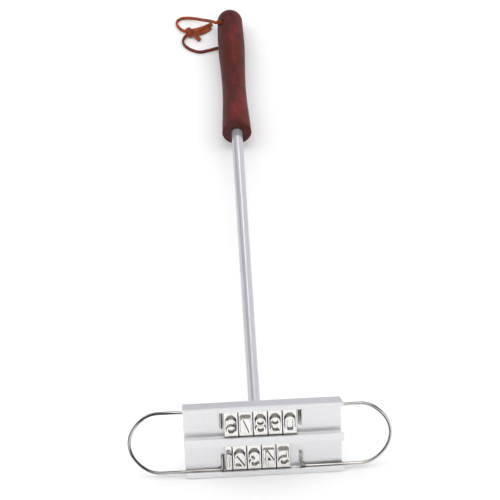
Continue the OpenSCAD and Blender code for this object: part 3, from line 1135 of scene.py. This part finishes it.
@dataclass(frozen=True)
class Handle:
    """The turned wooden handle: a flared end, a waist, a swell and a domed end with a hole for the lace.

    Attributes:
        length: length along the rod.
        flared: diameter of the flared end.
        waist: diameter of the waist.
        waist_at: distance from the flared end to the waist.
        swell: diameter of the swell.
        swell_at: distance from the flared end to the swell.
        dome: diameter where the domed end begins.
        dome_length: length of the domed end.
        rim: radius of the flared end's edge.
        glue_room: clearance round the rod's tang.
        hole: diameter of the lace hole.
        hole_to_end: distance from the lace hole to the domed end.
        hole_lean: angle of the lace hole from upright, in degrees, towards -X.
        hole_break: how far the hole's mouths are eased.
        hole_past: how far the drill reaches past the handle on both sides.
        hole_sides: sides of the drill.
        hole_steps: steps along the drill.
        sides: sides of the turn.
        stations: steps along the handle.
        rim_steps: steps over the rim.
        dome_steps: steps over the dome.
    """

    length: float = 130.0
    flared: float = 20.2
    waist: float = 16.3
    waist_at: float = 49.0
    swell: float = 18.7
    swell_at: float = 97.0
    dome: float = 17.9
    dome_length: float = 9.5
    rim: float = 0.8
    glue_room: float = 0.05
    hole: float = 4.2
    hole_to_end: float = 17.0
    hole_lean: float = 45.0
    hole_break: float = 0.5
    hole_past: float = 2.0
    hole_sides: int = 64
    hole_steps: int = 60
    sides: int = 128
    stations: int = 120
    rim_steps: int = 6
    dome_steps: int = 16

    @property
    def hole_at(self) -> float:
        """Distance from the flared end to the lace hole."""
        return self.length - self.hole_to_end

    def radius(self, along: np.ndarray) -> np.ndarray:
        """The handle's radius: a flare that falls as (1 - s)^2 (1 + s) to the waist, a half cosine wave up
        to the swell and another down to the dome, and a quarter ellipse over the dome.

        Args:
            along: distances from the flared end.

        Returns:
            The radius at each distance.
        """
        dome_at = self.length - self.dome_length
        flare = np.clip(along / self.waist_at, 0, 1)
        rise = np.clip((along - self.waist_at) / (self.swell_at - self.waist_at), 0, 1)
        fall = np.clip((along - self.swell_at) / (dome_at - self.swell_at), 0, 1)
        cap = np.clip((along - dome_at) / self.dome_length, 0, 1)
        width = self.waist + (self.flared - self.waist) * (1 - flare) ** 2 * (1 + flare)
        width = width + (self.swell - self.waist) * (1 - np.cos(math.pi * rise)) / 2
        width = width + (self.dome - self.swell) * (1 - np.cos(math.pi * fall)) / 2
        return width / 2 * np.sqrt(1 - cap**2)

    def profile(self, rod: Rod) -> np.ndarray:
        """The half outline: up the rod's bore, over the flared end's rim, along the body and over the dome.

        Args:
            rod: the rod in the bore.

        Returns:
            Rows of radius and distance from the flared end.
        """
        bore_radius, depth = rod.diameter / 2 + self.glue_room, rod.tang + self.glue_room
        rim_radius = float(self.radius(np.asarray([self.rim]))[0])
        ease = self.rim / 4
        bore_line = [(0.0, depth), (bore_radius, depth), (bore_radius, ease), (bore_radius + ease, 0.0)]
        rim_line = arc((rim_radius - self.rim, self.rim), self.rim, -90, 0, self.rim_steps)
        dome_at = self.length - self.dome_length
        body = np.linspace(self.rim, dome_at, self.stations)[1:]
        cap = np.radians(np.linspace(0, 90, self.dome_steps + 1))[1:]
        body_line = np.stack([self.radius(body), body], axis=-1)
        dome_along = dome_at + self.dome_length * np.sin(cap)
        dome_line = np.stack([self.dome / 2 * np.cos(cap), dome_along], axis=-1)
        return np.concatenate([bore_line, rim_line, body_line, dome_line])

    def lace_hole(self) -> Patch:
        """The lace hole about Y, as a surface to cut away: straight inside, and opening at both mouths by
        the square of the distance past a point two breaks under the surface, over four breaks.

        Returns:
            A closed surface about Y, which build() stands up and leans over.
        """
        outside = float(self.radius(np.asarray([self.hole_at]))[0])
        reach = np.linspace(-outside - self.hole_past, outside + self.hole_past, self.hole_steps + 1)
        past = np.clip(np.abs(reach) - (outside - 2 * self.hole_break), 0, None)
        radius = self.hole / 2 + past**2 / (4 * self.hole_break)
        turn = np.concatenate([[(0.0, reach[0])], np.stack([radius, reach], axis=-1), [(0.0, reach[-1])]])
        return revolved(turn, self.hole_sides)

    def build(self, lay: Lay, rod: Rod, base: float) -> bpy.types.Object:
        """The handle on its rod.

        Args:
            lay: how the tool lies.
            rod: the rod that it is glued to.
            base: Y of the flared end.

        Returns:
            The dressed piece.
        """
        turned = revolved(self.profile(rod), self.sides)
        piece = mesh_object("turned_handle", lay.lay(rod.shifted(turned, base)))
        hole = self.lace_hole()
        lean = math.radians(self.hole_lean)
        side, up = hole.points[:, 0], hole.points[:, 1]
        # The drill's Y is its way up, which turns by the lean from Z towards -X.
        across = side * math.cos(lean) - up * math.sin(lean)
        leaned = np.stack([across, hole.points[:, 2], side * math.sin(lean) + up * math.cos(lean)], axis=-1)
        bore(piece, lay.lay(rod.shifted(Patch(leaned, hole.faces), base + self.hole_at)))
        return dress(piece, WOOD_FINISH, TOOL, ["handle"])


@dataclass(frozen=True)
class WireClip:
    """A spring-wire clip: two hooks that hold the type, two legs in the outer slots and a round pull loop.

    Attributes:
        side: the end of the holder that it goes in at.
        room: gap between its hooks and the longer row of type.
        length: length from the hooks to the far end of the loop, on the centre line.
        wire: diameter of the wire.
        leg_gap: gap between a leg and the bottom of its slot.
        bend: bend radius at a hook.
        upper_hook: reach of the upper hook from its leg.
        lower_hook: reach of the lower hook from its leg.
        loop: length of the rounded part of the loop.
        corner: radius of the loop's two corners.
        tip: rounding of the cut ends.
        reflection_length: length of the streaks of painted dark reflection on the wire.
        reflection_start: where in the pattern of streaks the wire begins, in streaks.
        sides: sides of the wire.
        bow_steps: steps over each half of the loop's end, and over each corner.
        leg_steps: steps along a leg.
        bend_steps: steps round a hook's bend.
        hook_steps: steps along a hook.
    """

    side: Side
    room: float
    length: float
    wire: float = 2.1
    leg_gap: float = 0.3
    bend: float = 3.6
    upper_hook: float = 16.0
    lower_hook: float = 12.0
    loop: float = 19.5
    corner: float = 14.0
    tip: float = 0.4
    reflection_length: float = 40.0
    reflection_start: float = 0.0
    sides: int = 20
    bow_steps: int = 14
    leg_steps: int = 7
    bend_steps: int = 10
    hook_steps: int = 5

    def half_line(self, leg_z: float, reach: float) -> np.ndarray:
        """Half of the wire's centre line, in X and Z from its own hooks: a wide arc over the loop's end, a
        corner arc, the leg, the hook's bend and the hook. The wide arc's radius lets it touch the corner's.

        Args:
            leg_z: Z of the leg.
            reach: reach of the hook from the leg.

        Returns:
            An array of shape (n, 2), from the loop's end to the hook's tip.
        """
        corner_z = leg_z - self.corner
        wide = (self.corner**2 - corner_z**2 - self.loop**2) / (2 * (self.corner - self.loop))
        turn = math.degrees(math.atan2(corner_z, wide - self.loop))
        straight = self.length - self.loop
        end = arc((self.length - wide, 0.0), wide, 0, turn, self.bow_steps)
        shoulder = arc((straight, corner_z), self.corner, turn, 90, self.bow_steps)[1:]
        leg = np.linspace((straight, leg_z), (self.bend, leg_z), self.leg_steps + 1)[1:]
        bend = arc((self.bend, leg_z - self.bend), self.bend, 90, 180, self.bend_steps)[1:]
        hook = np.linspace((0.0, leg_z - self.bend), (0.0, leg_z - reach), self.hook_steps + 1)[1:]
        return np.concatenate([end, shoulder, leg, bend, hook])

    def mark_around(self, piece: bpy.types.Object, path: np.ndarray, section: np.ndarray) -> None:
        """Keeps each point's place round and along the wire, as (cos a, sin a, reflection start + way /
        length).

        Args:
            piece: the wire's mesh object.
            path: its centre line, of shape (n, 3).
            section: its section, of shape (m, 2).
        """
        steps = np.linalg.norm(np.diff(path, axis=0), axis=1)
        way = self.reflection_start + np.concatenate([[0.0], np.cumsum(steps)]) / self.reflection_length
        turn = np.broadcast_to(section[None] / (self.wire / 2), (len(path), *section.shape))
        along = np.broadcast_to(way[:, None, None], (len(path), len(section), 1))
        spot = np.concatenate([turn, along], axis=-1).astype(np.float32)
        marks = piece.data.attributes.new(WIRE_FINISH.around, "FLOAT_VECTOR", "POINT")
        marks.data.foreach_set("vector", spot.ravel())

    def build(self, lay: Lay, holder: Holder, row_edge: float) -> bpy.types.Object:
        """The clip as a wire with eased tips, whose lower half mirrors the upper one with a shorter hook.

        Args:
            lay: how the tool lies.
            holder: the holder that its legs slide in.
            row_edge: X of the type that its hooks hold.

        Returns:
            The dressed piece.
        """
        leg_z = holder.lip_edge + holder.undercut - self.wire / 2 - self.leg_gap
        above, below = self.half_line(leg_z, self.upper_hook), self.half_line(leg_z, self.lower_hook)
        line = np.concatenate([(below * (1, -1))[:0:-1], above])
        step_in = np.asarray([0.0, self.tip])
        line = np.concatenate([line[:1], line[:1] - step_in, line[1:-1], line[-1:] + step_in, line[-1:]])
        size = np.ones(len(line))
        size[[0, -1]] = 1 - self.tip / (self.wire / 2)
        across = row_edge + self.side.value * (self.room + self.wire / 2 + line[:, 0])
        depth = holder.flange + holder.slot / 2
        path = set_back(np.stack([across, line[:, 1]], axis=-1), depth)
        section = oval(self.wire, self.wire, 2.0, self.sides)
        wire = swept(path, section, (0.0, 1.0, 0.0), size)
        name = self.side.name.lower()
        piece = mesh_object(f"{name}_clip_wire", lay.lay(wire))
        self.mark_around(piece, path, section)
        return dress(piece, WIRE_FINISH, f"{name}_clip", [f"{name}_wire_clip"])


@dataclass(frozen=True)
class Stroke:
    """The raised stroke of a figure: its walls are bevelled and its top edge is rounded.

    Attributes:
        top: width on top.
        foot: width where it meets the figure's base.
        height: height above the base.
        sunk: how far it reaches into the base, and the base into the block.
        edge: radius of the top edge.
        crease: radius of the other corners.
        draft: how much the base's wall leans out on its way down.
        steps: steps round each edge.
    """

    top: float = 1.1
    foot: float = 1.8
    height: float = 1.3
    sunk: float = 0.4
    edge: float = 0.12
    crease: float = 0.02
    draft: float = 0.2
    steps: int = 3

    def section(self) -> np.ndarray:
        """The section as (across, height): a foot, leaning walls and an arc at each top edge.

        Returns:
            An array of shape (n, 2), anticlockwise.
        """
        foot, top, height, sunk = self.foot / 2, self.top / 2, self.height, -self.sunk
        corners = [(-foot, sunk), (foot, sunk), (foot, 0.0), (top, height), (-top, height), (-foot, 0.0)]
        radii = [self.crease] * 3 + [self.edge] * 2 + [self.crease]
        return rounded(corners, radii, self.steps)

    def raised(self, line: np.ndarray, ring: bool, face: float) -> Patch:
        """The section carried along a line on the figure's base: line + across * normal, and height towards
        -Y. At an open line's ends each point also moves outwards by as much as the wall leans there.

        Args:
            line: the centre line in X and Z, of shape (n, 2).
            ring: whether it closes on itself.
            face: Y of the base's front.

        Returns:
            The closed surface.
        """
        section = self.section()
        run = directions(line, ring)
        spot = line[:, None] + section[None, :, :1] * left_of(run)[:, None]
        if not ring:
            lean = np.clip(1 - section[:, 1:] / self.height, 0, 1) * (self.foot - self.top) / 2
            spot[0] -= lean * run[0]
            spot[-1] += lean * run[-1]
        return grid_patch(set_back(spot, face - section[:, 1]), ring)

    def base(self, outline: np.ndarray, height: float, face: float) -> Patch:
        """The filled base that a figure stands on: an outline carried from the block's face towards -Y.
        Below the top it moves out along its normals by the draft's share of the way down, and through the
        top edge's quarter turn a it moves in by edge * (1 - cos a).

        Args:
            outline: the outline in X and Z, anticlockwise, of shape (n, 2).
            height: height above the face.
            face: Y of the block's face.

        Returns:
            The closed surface.
        """
        turn = np.radians(np.linspace(0, 90, self.steps + 1))
        level = np.concatenate([[-self.sunk, 0.0], height - self.edge * (1 - np.sin(turn))])
        lean = np.clip(1 - level / height, 0, 1) * self.draft
        out = lean - self.edge * np.concatenate([[0.0, 0.0], 1 - np.cos(turn)])
        spot = outline[None] - out[:, None, None] * left_of(directions(outline, ring=True))[None]
        return grid_patch(set_back(spot, (face - level)[:, None]))


@dataclass(frozen=True)
class Figure:
    """A figure from 0 to 9, drawn with strokes in a box.

    Attributes:
        value: the figure.
        width: width of the box.
        height: height of the box.
        stroke: width of a stroke.
        round_tops: the figures whose base is round at the top.
        round_feet: the figures whose base is round at the foot.
        square_corner: radius of the other corners of a base.
        fullness: radius of a round end, as a share of half the width.
        corner_steps: steps round each corner of a base.
        ring_step: degrees in a step round a ring.
    """

    value: int
    width: float
    height: float
    stroke: float
    round_tops: tuple[int, ...] = (0, 2, 3, 6, 8, 9)
    round_feet: tuple[int, ...] = (0, 3, 5, 6, 8, 9)
    square_corner: float = 0.4
    fullness: float = 0.99
    corner_steps: int = 8
    ring_step: float = 10.0

    def base_outline(self) -> np.ndarray:
        """The outline of the base: the box, with half circles where the figure is round.

        Returns:
            An array of shape (n, 2), anticlockwise, from the box's middle.
        """
        x, z = self.width / 2, self.height / 2
        circle = self.fullness * x
        foot = circle if self.value in self.round_feet else self.square_corner
        top = circle if self.value in self.round_tops else self.square_corner
        corners = [(-x, -z), (x, -z), (x, z), (-x, z)]
        return rounded(corners, [foot, foot, top, top], self.corner_steps)

    def ring(
        self, middle: float, reach: float, start: float = 0.0, end: float = 360.0
    ) -> tuple[np.ndarray, bool]:
        """A ring with straight sides, or part of one: half circles over and under two straight runs, on the
        stroke's centre line.

        Args:
            middle: Z of the ring's middle.
            reach: half of its height.
            start: angle where it starts, in degrees.
            end: angle where it ends, in degrees.

        Returns:
            The line, of shape (n, 2), and whether it closes on itself.
        """
        radius = (self.width - self.stroke) / 2
        closed = abs(end - start) == 360
        turn = np.radians(np.linspace(start, end, int(abs(end - start) / self.ring_step) + 1))
        if closed:
            turn = turn[:-1]
        lift = np.sign(np.round(np.sin(turn), 6)) * (reach - radius)
        return np.stack([radius * np.cos(turn), middle + lift + radius * np.sin(turn)], axis=-1), closed

    def lines(self) -> list[tuple[np.ndarray, bool]]:
        """The centre lines of the figure's strokes, each with whether it closes on itself.

        Returns:
            The lines, in X and Z from the box's middle.
        """
        x, z = (self.width - self.stroke) / 2, (self.height - self.stroke) / 2
        small, arm = z / 2, -z / 3
        stem, mast = self.width / 4, self.width / 5
        bar, ring = self.bar, self.ring
        six = [ring(-small, small), ring(0, z, 40, 180), bar(-x, z - x, -x, -small)]
        shapes = {
            0: [ring(0, z)],
            1: [bar(stem, -z, stem, z), bar(stem, z, -self.width / 2, z - self.width)],
            2: [ring(small, small, 180, -20), bar(x, small, -x, -z), bar(-x, -z, x, -z)],
            3: [ring(small, small, 170, -90), ring(-small, small, 90, -170)],
            4: [bar(mast, -z, mast, z), bar(-x, arm, x, arm), bar(-x, arm, mast, z)],
            5: [bar(-x, z, x, z), bar(-x, z, -x, 0), bar(-x, 0, 0, 0), ring(-small, small, 90, -170)],
            6: six,
            7: [bar(-x, z, x, z), bar(x, z, -self.width / 6, -z)],
            8: [ring(small, small), ring(-small, small)],
            9: [(-line, closed) for line, closed in six],
        }
        return shapes[self.value]

    def bar(self, x0: float, z0: float, x1: float, z1: float) -> tuple[np.ndarray, bool]:
        """A straight stroke's centre line, as an open line of two points."""
        return np.asarray([(x0, z0), (x1, z1)], dtype=float), False


@dataclass(frozen=True)
class TypeRow:
    """A row of cast type: blocks with a tongue above and below, each with a raised figure read in a mirror.

    Attributes:
        row: which channel the row is in.
        figures: the figures, from the left.
        narrow: the figures that stand on a narrow block.
        start: X of the row's left end.
        pitch: pitch of a full block.
        narrow_pitch: pitch of a narrow block.
        gap: gap between blocks.
        tongue_gap: clearance round a tongue.
        lip_gap: clearance between a block and the lips.
        recess: how far the face lies behind the lips.
        figure_height: height of a figure.
        margin: bare margin beside a figure.
        line: width of a figure's stroke.
        relief: height of a figure above the face.
        edge: radius of the face's edges.
        lower_edge: radius of the face's lower edge.
        root: radius where a tongue meets the body.
        tongue_edge: radius of the tongues' edges.
        edge_steps: steps round each edge.
        draft: how much a side that meets another block leans out on its way back.
        stroke: the form of a stroke.
    """

    row: Row
    figures: tuple[int, ...]
    narrow: tuple[int, ...] = (1,)
    start: float = -25.0
    pitch: float = 9.3
    narrow_pitch: float = 4.6
    gap: float = 0.5
    tongue_gap: float = 0.15
    lip_gap: float = 0.55
    recess: float = 1.4
    figure_height: float = 14.0
    margin: float = 1.0
    line: float = 1.8
    relief: float = 2.5
    edge: float = 0.3
    lower_edge: float = 0.7
    root: float = 0.1
    tongue_edge: float = 0.2
    edge_steps: int = 3
    draft: float = 0.22
    stroke: Stroke = Stroke()

    @property
    def end(self) -> float:
        """X of the row's right end."""
        slim = sum(value in self.narrow for value in self.figures)
        return self.start + slim * self.narrow_pitch + (len(self.figures) - slim) * self.pitch - self.gap

    def outline(self, holder: Holder) -> np.ndarray:
        """A block's section in Y and Z: a body between the lips and tongues in the slots behind them.

        Args:
            holder: the holder that it slides in.

        Returns:
            The rounded section, anticlockwise.
        """
        front, shoulder = self.recess, holder.flange + self.tongue_gap
        back = holder.flange + holder.slot - self.tongue_gap
        body = holder.channel_height / 2 - self.lip_gap
        tongue = holder.channel_height / 2 + holder.undercut - self.tongue_gap
        corners = [
            (front, -body), (shoulder, -body), (shoulder, -tongue), (back, -tongue),
            (back, tongue), (shoulder, tongue), (shoulder, body), (front, body),
        ]
        radii = [self.lower_edge, self.root] + [self.tongue_edge] * 4 + [self.root, self.edge]
        middle = self.row.value * holder.channel_middle
        return rounded([(y, z + middle) for y, z in corners], radii, self.edge_steps)

    def drafted(self, body: Patch, back: float, neighbours: tuple[bool, bool]) -> Patch:
        """Leans a block's sides: X moves out by the draft's share of the way from the face to the back.

        Args:
            body: the block with upright sides.
            back: Y of the block's back.
            neighbours: whether another block stands on the left and on the right.

        Returns:
            The block, with a lean on each side that has a neighbour.
        """
        points = body.points.copy()
        depth = np.clip((points[:, 1] - self.recess) / (back - self.recess), 0, 1)
        side = np.where(points[:, 0] < points[:, 0].mean(), -float(neighbours[0]), float(neighbours[1]))
        points[:, 0] += side * self.draft * depth
        return Patch(points, body.faces)

    def build(self, lay: Lay, holder: Holder) -> list[bpy.types.Object]:
        """The row's blocks, each on its own body.

        Args:
            lay: how the tool lies.
            holder: the holder that they slide in.

        Returns:
            The dressed pieces.
        """
        pieces = []
        left = self.start
        outline = self.outline(holder)
        for number, value in enumerate(self.figures, start=1):
            pitch = self.narrow_pitch if value in self.narrow else self.pitch
            right = left + pitch - self.gap
            figure = Figure(value, right - left - 2 * self.margin, self.figure_height, self.line)
            middle = np.asarray([(left + right) / 2, self.row.value * holder.channel_middle])
            base_height = self.relief - self.stroke.height
            base = self.stroke.base(middle + figure.base_outline(), base_height, self.recess)
            strokes = [
                self.stroke.raised(middle + line * (-1, 1), ring, self.recess - base_height)
                for line, ring in figure.lines()
            ]
            neighbours = (number > 1, number < len(self.figures))
            body = self.drafted(extruded(outline, left, right, self.edge), outline[:, 0].max(), neighbours)
            block = joined([body, base] + strokes)
            node = f"type_{self.row.name.lower()}_{number}"
            piece = mesh_object(f"{node}_block", lay.lay(block))
            pieces.append(dress(piece, TYPE_FINISH, node, [node]))
            left += pitch
        return pieces


@dataclass(frozen=True)
class Lace:
    """The leather lace: it goes through the handle's hole, both ends lie on the table and meet in a knot.

    Attributes:
        width: width of the lace in the loop, where it stands on its edge.
        thickness: thickness of the lace in the loop.
        split: half of the gap in the hole where its two strands part.
        front_length: length of the strand from the hole's middle, out of its upper mouth, to the knot.
        rear_length: length of the strand that leaves by the lower mouth.
        front: points of the front strand outside the handle.
        rear: points of the rear strand outside the handle.
        tails: points of the ends beyond the knot.
        flat: width and thickness of the lace in the knot and its ends, where it is pressed flat.
        tails_face: the way that the ends' flat sides look.
        turn_middle: middle of the turn that holds the knot.
        turn_size: half of the turn's size along Y and Z.
        turn_slew: how far the turn leans over towards -X for each millimetre of Y.
        squareness: how square the lace's section is, as oval() takes it.
        cut_end: size of the section at a cut end, as a share of the full size.
        sides: sides of the section.
        steps: steps between two points of a route.
        turn_steps: steps round the turn.
    """

    width: float = 2.4
    thickness: float = 1.7
    split: float = 0.1
    front_length: float = 73.8
    rear_length: float = 74.0
    front: tuple = (
        (-14.5, 411, 18), (-17.5, 414, 16.5), (-20.5, 418.5, 13.5), (-24, 424, 9.5), (-26.2, 427.1, 7.45),
        (-28.5, 430, 5.5), (-33.5, 434.5, 2.5), (-38.5, 436, 1.2), (-42, 433.5, 1.2), (-42.5, 429.5, 1.2),
        (-40.5, 425, 1.4), (-37.8, 421.8, 2), (-35, 420.2, 2.6),
    )
    rear: tuple = (
        (3.2, 408.85, 3.2), (3.7, 406.55, 1.9), (3, 404.1, 1.25), (1, 402, 1.2), (-2.2, 401.2, 1.3),
        (-8.5, 402, 1.2), (-14, 402.6, 1.2), (-21, 400.6, 1.2), (-27, 399.4, 1.2), (-32.5, 401.6, 1.2),
        (-37, 406, 1.2), (-38.8, 411, 1.2), (-37.8, 414.8, 1.6), (-35.4, 417.2, 2.2),
    )
    tails: tuple = (
        (
            (-36.5, 420.6, 2.3), (-33.0, 419.9, 3.3), (-29.4, 420.6, 3.2),
            (-25.5, 422.5, 2.7), (-21.5, 425.1, 2.0), (-17.6, 428.2, 1.4),
        ),
        (
            (-36.4, 416.8, 2.0), (-33.0, 417.8, 2.8), (-28.8, 418.4, 2.3),
            (-25.2, 419.5, 1.4), (-21.8, 421.7, 1.35), (-18.8, 424.5, 1.35),
        ),
        (
            (-34.6, 420.2, 3.4), (-32.4, 419.2, 4.1), (-30.4, 416.6, 3.7),
            (-28.6, 413.8, 2.3), (-26.8, 411.5, 1.4),
        ),
    )
    flat: tuple[float, float] = (3.1, 1.5)
    tails_face: tuple[float, float, float] = (0.0, -0.35, 0.94)
    turn_middle: tuple[float, float, float] = (-33.8, 418.6, 3.2)
    turn_size: tuple[float, float] = (3.1, 2.4)
    turn_slew: float = 0.45
    squareness: float = 2.8
    cut_end: float = 0.86
    sides: int = 20
    steps: int = 8
    turn_steps: int = 64

    def tube(
        self, route: np.ndarray, size: tuple[float, float], face: tuple[float, float, float]
    ) -> tuple[Patch, np.ndarray]:
        """The lace's section carried along a smooth route, with its cut ends slightly drawn in.

        Args:
            route: the points that it goes through, in the frame's axes.
            size: the section's size across face and along it.
            face: the way that the section's upper side looks.

        Returns:
            The closed surface, and its centre line.
        """
        line = smooth_route(route, self.steps)
        share = np.ones(len(line))
        share[[0, -1]] = self.cut_end
        return swept(line, oval(*size, self.squareness, self.sides), face, share), line

    def turn(self) -> Patch:
        """The turn that holds the knot, as a flat band on an upright oval: Y and Z are the middle plus half
        of each size times cos t and sin t, X slews with Y, and a flat side faces the oval's middle.

        Returns:
            The closed surface.
        """
        sweep = np.linspace(0, 2 * math.pi, self.turn_steps, endpoint=False)
        across, up = self.turn_size[0] * np.cos(sweep), self.turn_size[1] * np.sin(sweep)
        out = np.stack([-self.turn_slew * across, across, up], axis=-1)
        band = oval(*self.flat, self.squareness, self.sides)
        return swept(np.asarray(self.turn_middle) + out, band, out, np.ones(len(out)), ring=True)

    def hole_points(
        self, lay: Lay, rod: Rod, handle: Handle, base: float, reaches: list[float]
    ) -> np.ndarray:
        """Points on the lace hole's axis, at distances from the handle's axis towards the upper mouth.

        Args:
            lay: how the tool lies.
            rod: the rod that carries the handle.
            handle: the handle that has the hole.
            base: Y of the handle's flared end.
            reaches: the distances.

        Returns:
            An array of shape (n, 3), in the frame's axes.
        """
        lean = math.radians(handle.hole_lean)
        reach = np.asarray(reaches)
        across, up = rod.offset - reach * math.sin(lean), reach * math.cos(lean)
        return lay.place(set_back(np.stack([across, up], axis=-1), base + handle.hole_at))

    def build(self, lay: Lay, rod: Rod, handle: Handle, base: float) -> list[bpy.types.Object]:
        """The two strands and the knot with its ends.

        Args:
            lay: how the tool lies.
            rod: the rod that carries the handle.
            handle: the handle that has the hole.
            base: Y of the handle's flared end.

        Returns:
            The dressed pieces.
        """
        mouth = handle.dome / 2
        upper, lower = [self.split, mouth + self.width / 2], [-self.split, -mouth / 2, -mouth]
        strands = (
            ("front", upper, self.front, self.front_length, LEATHER_FINISH),
            # The rear strand takes the darker copy of the leather: painted shade.
            ("rear", lower, self.rear, self.rear_length, SHADED_LACE_FINISH),
        )
        ends = [self.tube(np.asarray(route), self.flat, self.tails_face)[0] for route in self.tails]
        knot = mesh_object("lace_knot", joined(ends + [self.turn()]))
        pieces = [dress(knot, LEATHER_FINISH, TOOL, ["strap_knot", "strap_tails"])]
        for name, reaches, points, length, finish in strands:
            start = self.hole_points(lay, rod, handle, base, reaches)
            route = np.concatenate([start, np.asarray(points)])
            surface, line = self.tube(route, (self.thickness, self.width), (0.0, 0.0, 1.0))
            piece = mesh_object(f"lace_{name}", surface)
            dress(piece, finish, TOOL, [f"strap_{name}_strand"])
            pieces.append(piece)
        return pieces


@dataclass(frozen=True)
class PhotoCamera:
    """The camera at the photograph's view.

    Attributes:
        place: where it stands, in millimetres in the frame's axes.
        turn: its turn about X, Y and Z, in degrees.
        focal: focal length in millimetres.
        sensor: width of its sensor in millimetres.
        far: how far it sees, in metres.
    """

    place: tuple[float, float, float] = (-34.069, -1657.952, 1875.048)
    turn: tuple[float, float, float] = (44.724777, 1.573578, -2.616943)
    focal: float = 281.633
    sensor: float = 36.0
    far: float = 100.0

    def build(self) -> bpy.types.Object:
        """Adds the camera and makes it the scene's.

        Returns:
            The camera.
        """
        lens = bpy.data.cameras.new("photo_camera")
        lens.lens = self.focal
        lens.sensor_width = self.sensor
        lens.clip_end = self.far
        camera = bpy.data.objects.new("photo_camera", lens)
        camera.location = Vector(self.place) * MM
        camera.rotation_euler = Euler([math.radians(angle) for angle in self.turn])
        bpy.context.scene.collection.objects.link(camera)
        bpy.context.scene.camera = camera
        return camera


@dataclass(frozen=True)
class SoftLight:
    """A rectangular studio light that points at the tool.

    Attributes:
        name: its name.
        azimuth: its direction from the tool, in degrees to the right of +Y.
        height: its angle above the table, in degrees.
        distance: its distance from the tool, in metres.
        size: its width and height, in metres.
        glow: its brightness, where 1 is a white that the camera just holds.
    """

    name: str
    azimuth: float
    height: float
    distance: float
    size: tuple[float, float]
    glow: float

    def build(self, aim: Vector) -> bpy.types.Object:
        """Hangs the light. A flat light of brightness L and area A gives off pi * A * L watts.

        Args:
            aim: the point that it faces, in metres.

        Returns:
            The light.
        """
        turn, lift = math.radians(self.azimuth), math.radians(self.height)
        away = Vector((math.sin(turn) * math.cos(lift), math.cos(turn) * math.cos(lift), math.sin(lift)))
        lamp = bpy.data.lights.new(self.name, "AREA")
        lamp.shape = "RECTANGLE"
        lamp.size, lamp.size_y = self.size
        lamp.energy = math.pi * self.size[0] * self.size[1] * self.glow
        light = bpy.data.objects.new(self.name, lamp)
        light.location = aim + away * self.distance
        light.rotation_euler = away.to_track_quat("Z", "Y").to_euler()
        bpy.context.scene.collection.objects.link(light)
        return light


@dataclass(frozen=True)
class Studio:
    """A white table in a pale room, with soft lights above, in front, at both sides and behind.

    Attributes:
        floor: side of the floor, in millimetres.
        room: colour of the room.
        room_strength: brightness of the room.
        aim: the point that the lights face, in metres.
        lights: the lights.
    """

    floor: float = 24000.0
    room: str = "#f4f4f8"
    room_strength: float = 0.34
    aim: tuple[float, float, float] = (0.0, 0.2, 0.03)
    lights: tuple[SoftLight, ...] = (
        SoftLight("overhead_softbox", 180.0, 80.0, 2.3, (1.2, 1.2), 2.8),
        SoftLight("front_softbox", 180.0, 50.0, 3.2, (3.4, 1.8), 1.15),
        SoftLight("left_softbox", -90.0, 50.0, 2.4, (1.8, 1.8), 1.7),
        SoftLight("right_softbox", 90.0, 50.0, 2.4, (1.8, 1.8), 1.7),
        SoftLight("right_sweep", 17.0, 20.0, 3.0, (5.0, 2.3), 0.78),
        SoftLight("left_sweep", -62.0, 18.0, 3.0, (2.4, 1.9), 0.8),
        SoftLight("strip_softbox", 9.0, 38.5, 2.4, (0.75, 0.5), 1.6),
    )

    def build(self) -> bpy.types.Object:
        """Lays the floor, hangs the lights and paints the room.

        Returns:
            The floor.
        """
        half = self.floor / 2
        corners = [(-half, -half, 0.0), (half, -half, 0.0), (half, half, 0.0), (-half, half, 0.0)]
        floor = mesh_object("studio_floor", Patch(np.asarray(corners), [[0, 1, 2, 3]]))
        floor.data.materials.append(FLOOR_FINISH.material())
        for light in self.lights:
            light.build(Vector(self.aim))
        world = bpy.data.worlds.new("studio_room")
        world.use_nodes = True
        air = world.node_tree.nodes["Background"]
        air.inputs["Color"].default_value = linear(self.room)
        air.inputs["Strength"].default_value = self.room_strength
        bpy.context.scene.world = world
        bpy.context.scene.view_settings.view_transform = "Standard"
        return floor


def main() -> None:
    """Builds the camera, the lace, the rigid pieces and the studio."""
    logging.basicConfig(level=logging.INFO, format="%(name)s %(message)s")
    PhotoCamera().build()
    holder, rod, handle = Holder(), Rod(), Handle()
    rest = next(mount for mount in frame["record"]["mounts"] if mount["name"] == "head_rest")
    lean = math.atan2(-rest["axis"][1], -rest["axis"][2])
    foot = tuple(value / MM for value in rest["pos_m"])
    lay = Lay(lean, foot, (holder.thickness / 2, -holder.height / 2))
    base = holder.spine_back + rod.length
    pieces = Lace().build(lay, rod, handle, base)
    pieces.append(holder.build(lay, rod))
    pieces.append(rod.build(lay, holder.spine_back))
    pieces.append(handle.build(lay, rod, base))
    upper, lower = TypeRow(Row.UPPER, (6, 7, 8, 9, 0)), TypeRow(Row.LOWER, (1, 2, 3, 4, 5))
    pieces.extend(upper.build(lay, holder))
    pieces.extend(lower.build(lay, holder))
    left_clip = WireClip(Side.LEFT, room=0.85, length=58.6)
    # The right clip starts further along its pattern of painted reflection streaks.
    right_clip = WireClip(Side.RIGHT, room=1.1, length=57.0, reflection_start=9.0)
    pieces.append(left_clip.build(lay, holder, upper.start))
    pieces.append(right_clip.build(lay, holder, upper.end))
    Studio().build()
    LOG.info("%d pieces built", len(pieces))


if __name__ == "__main__":
    main()
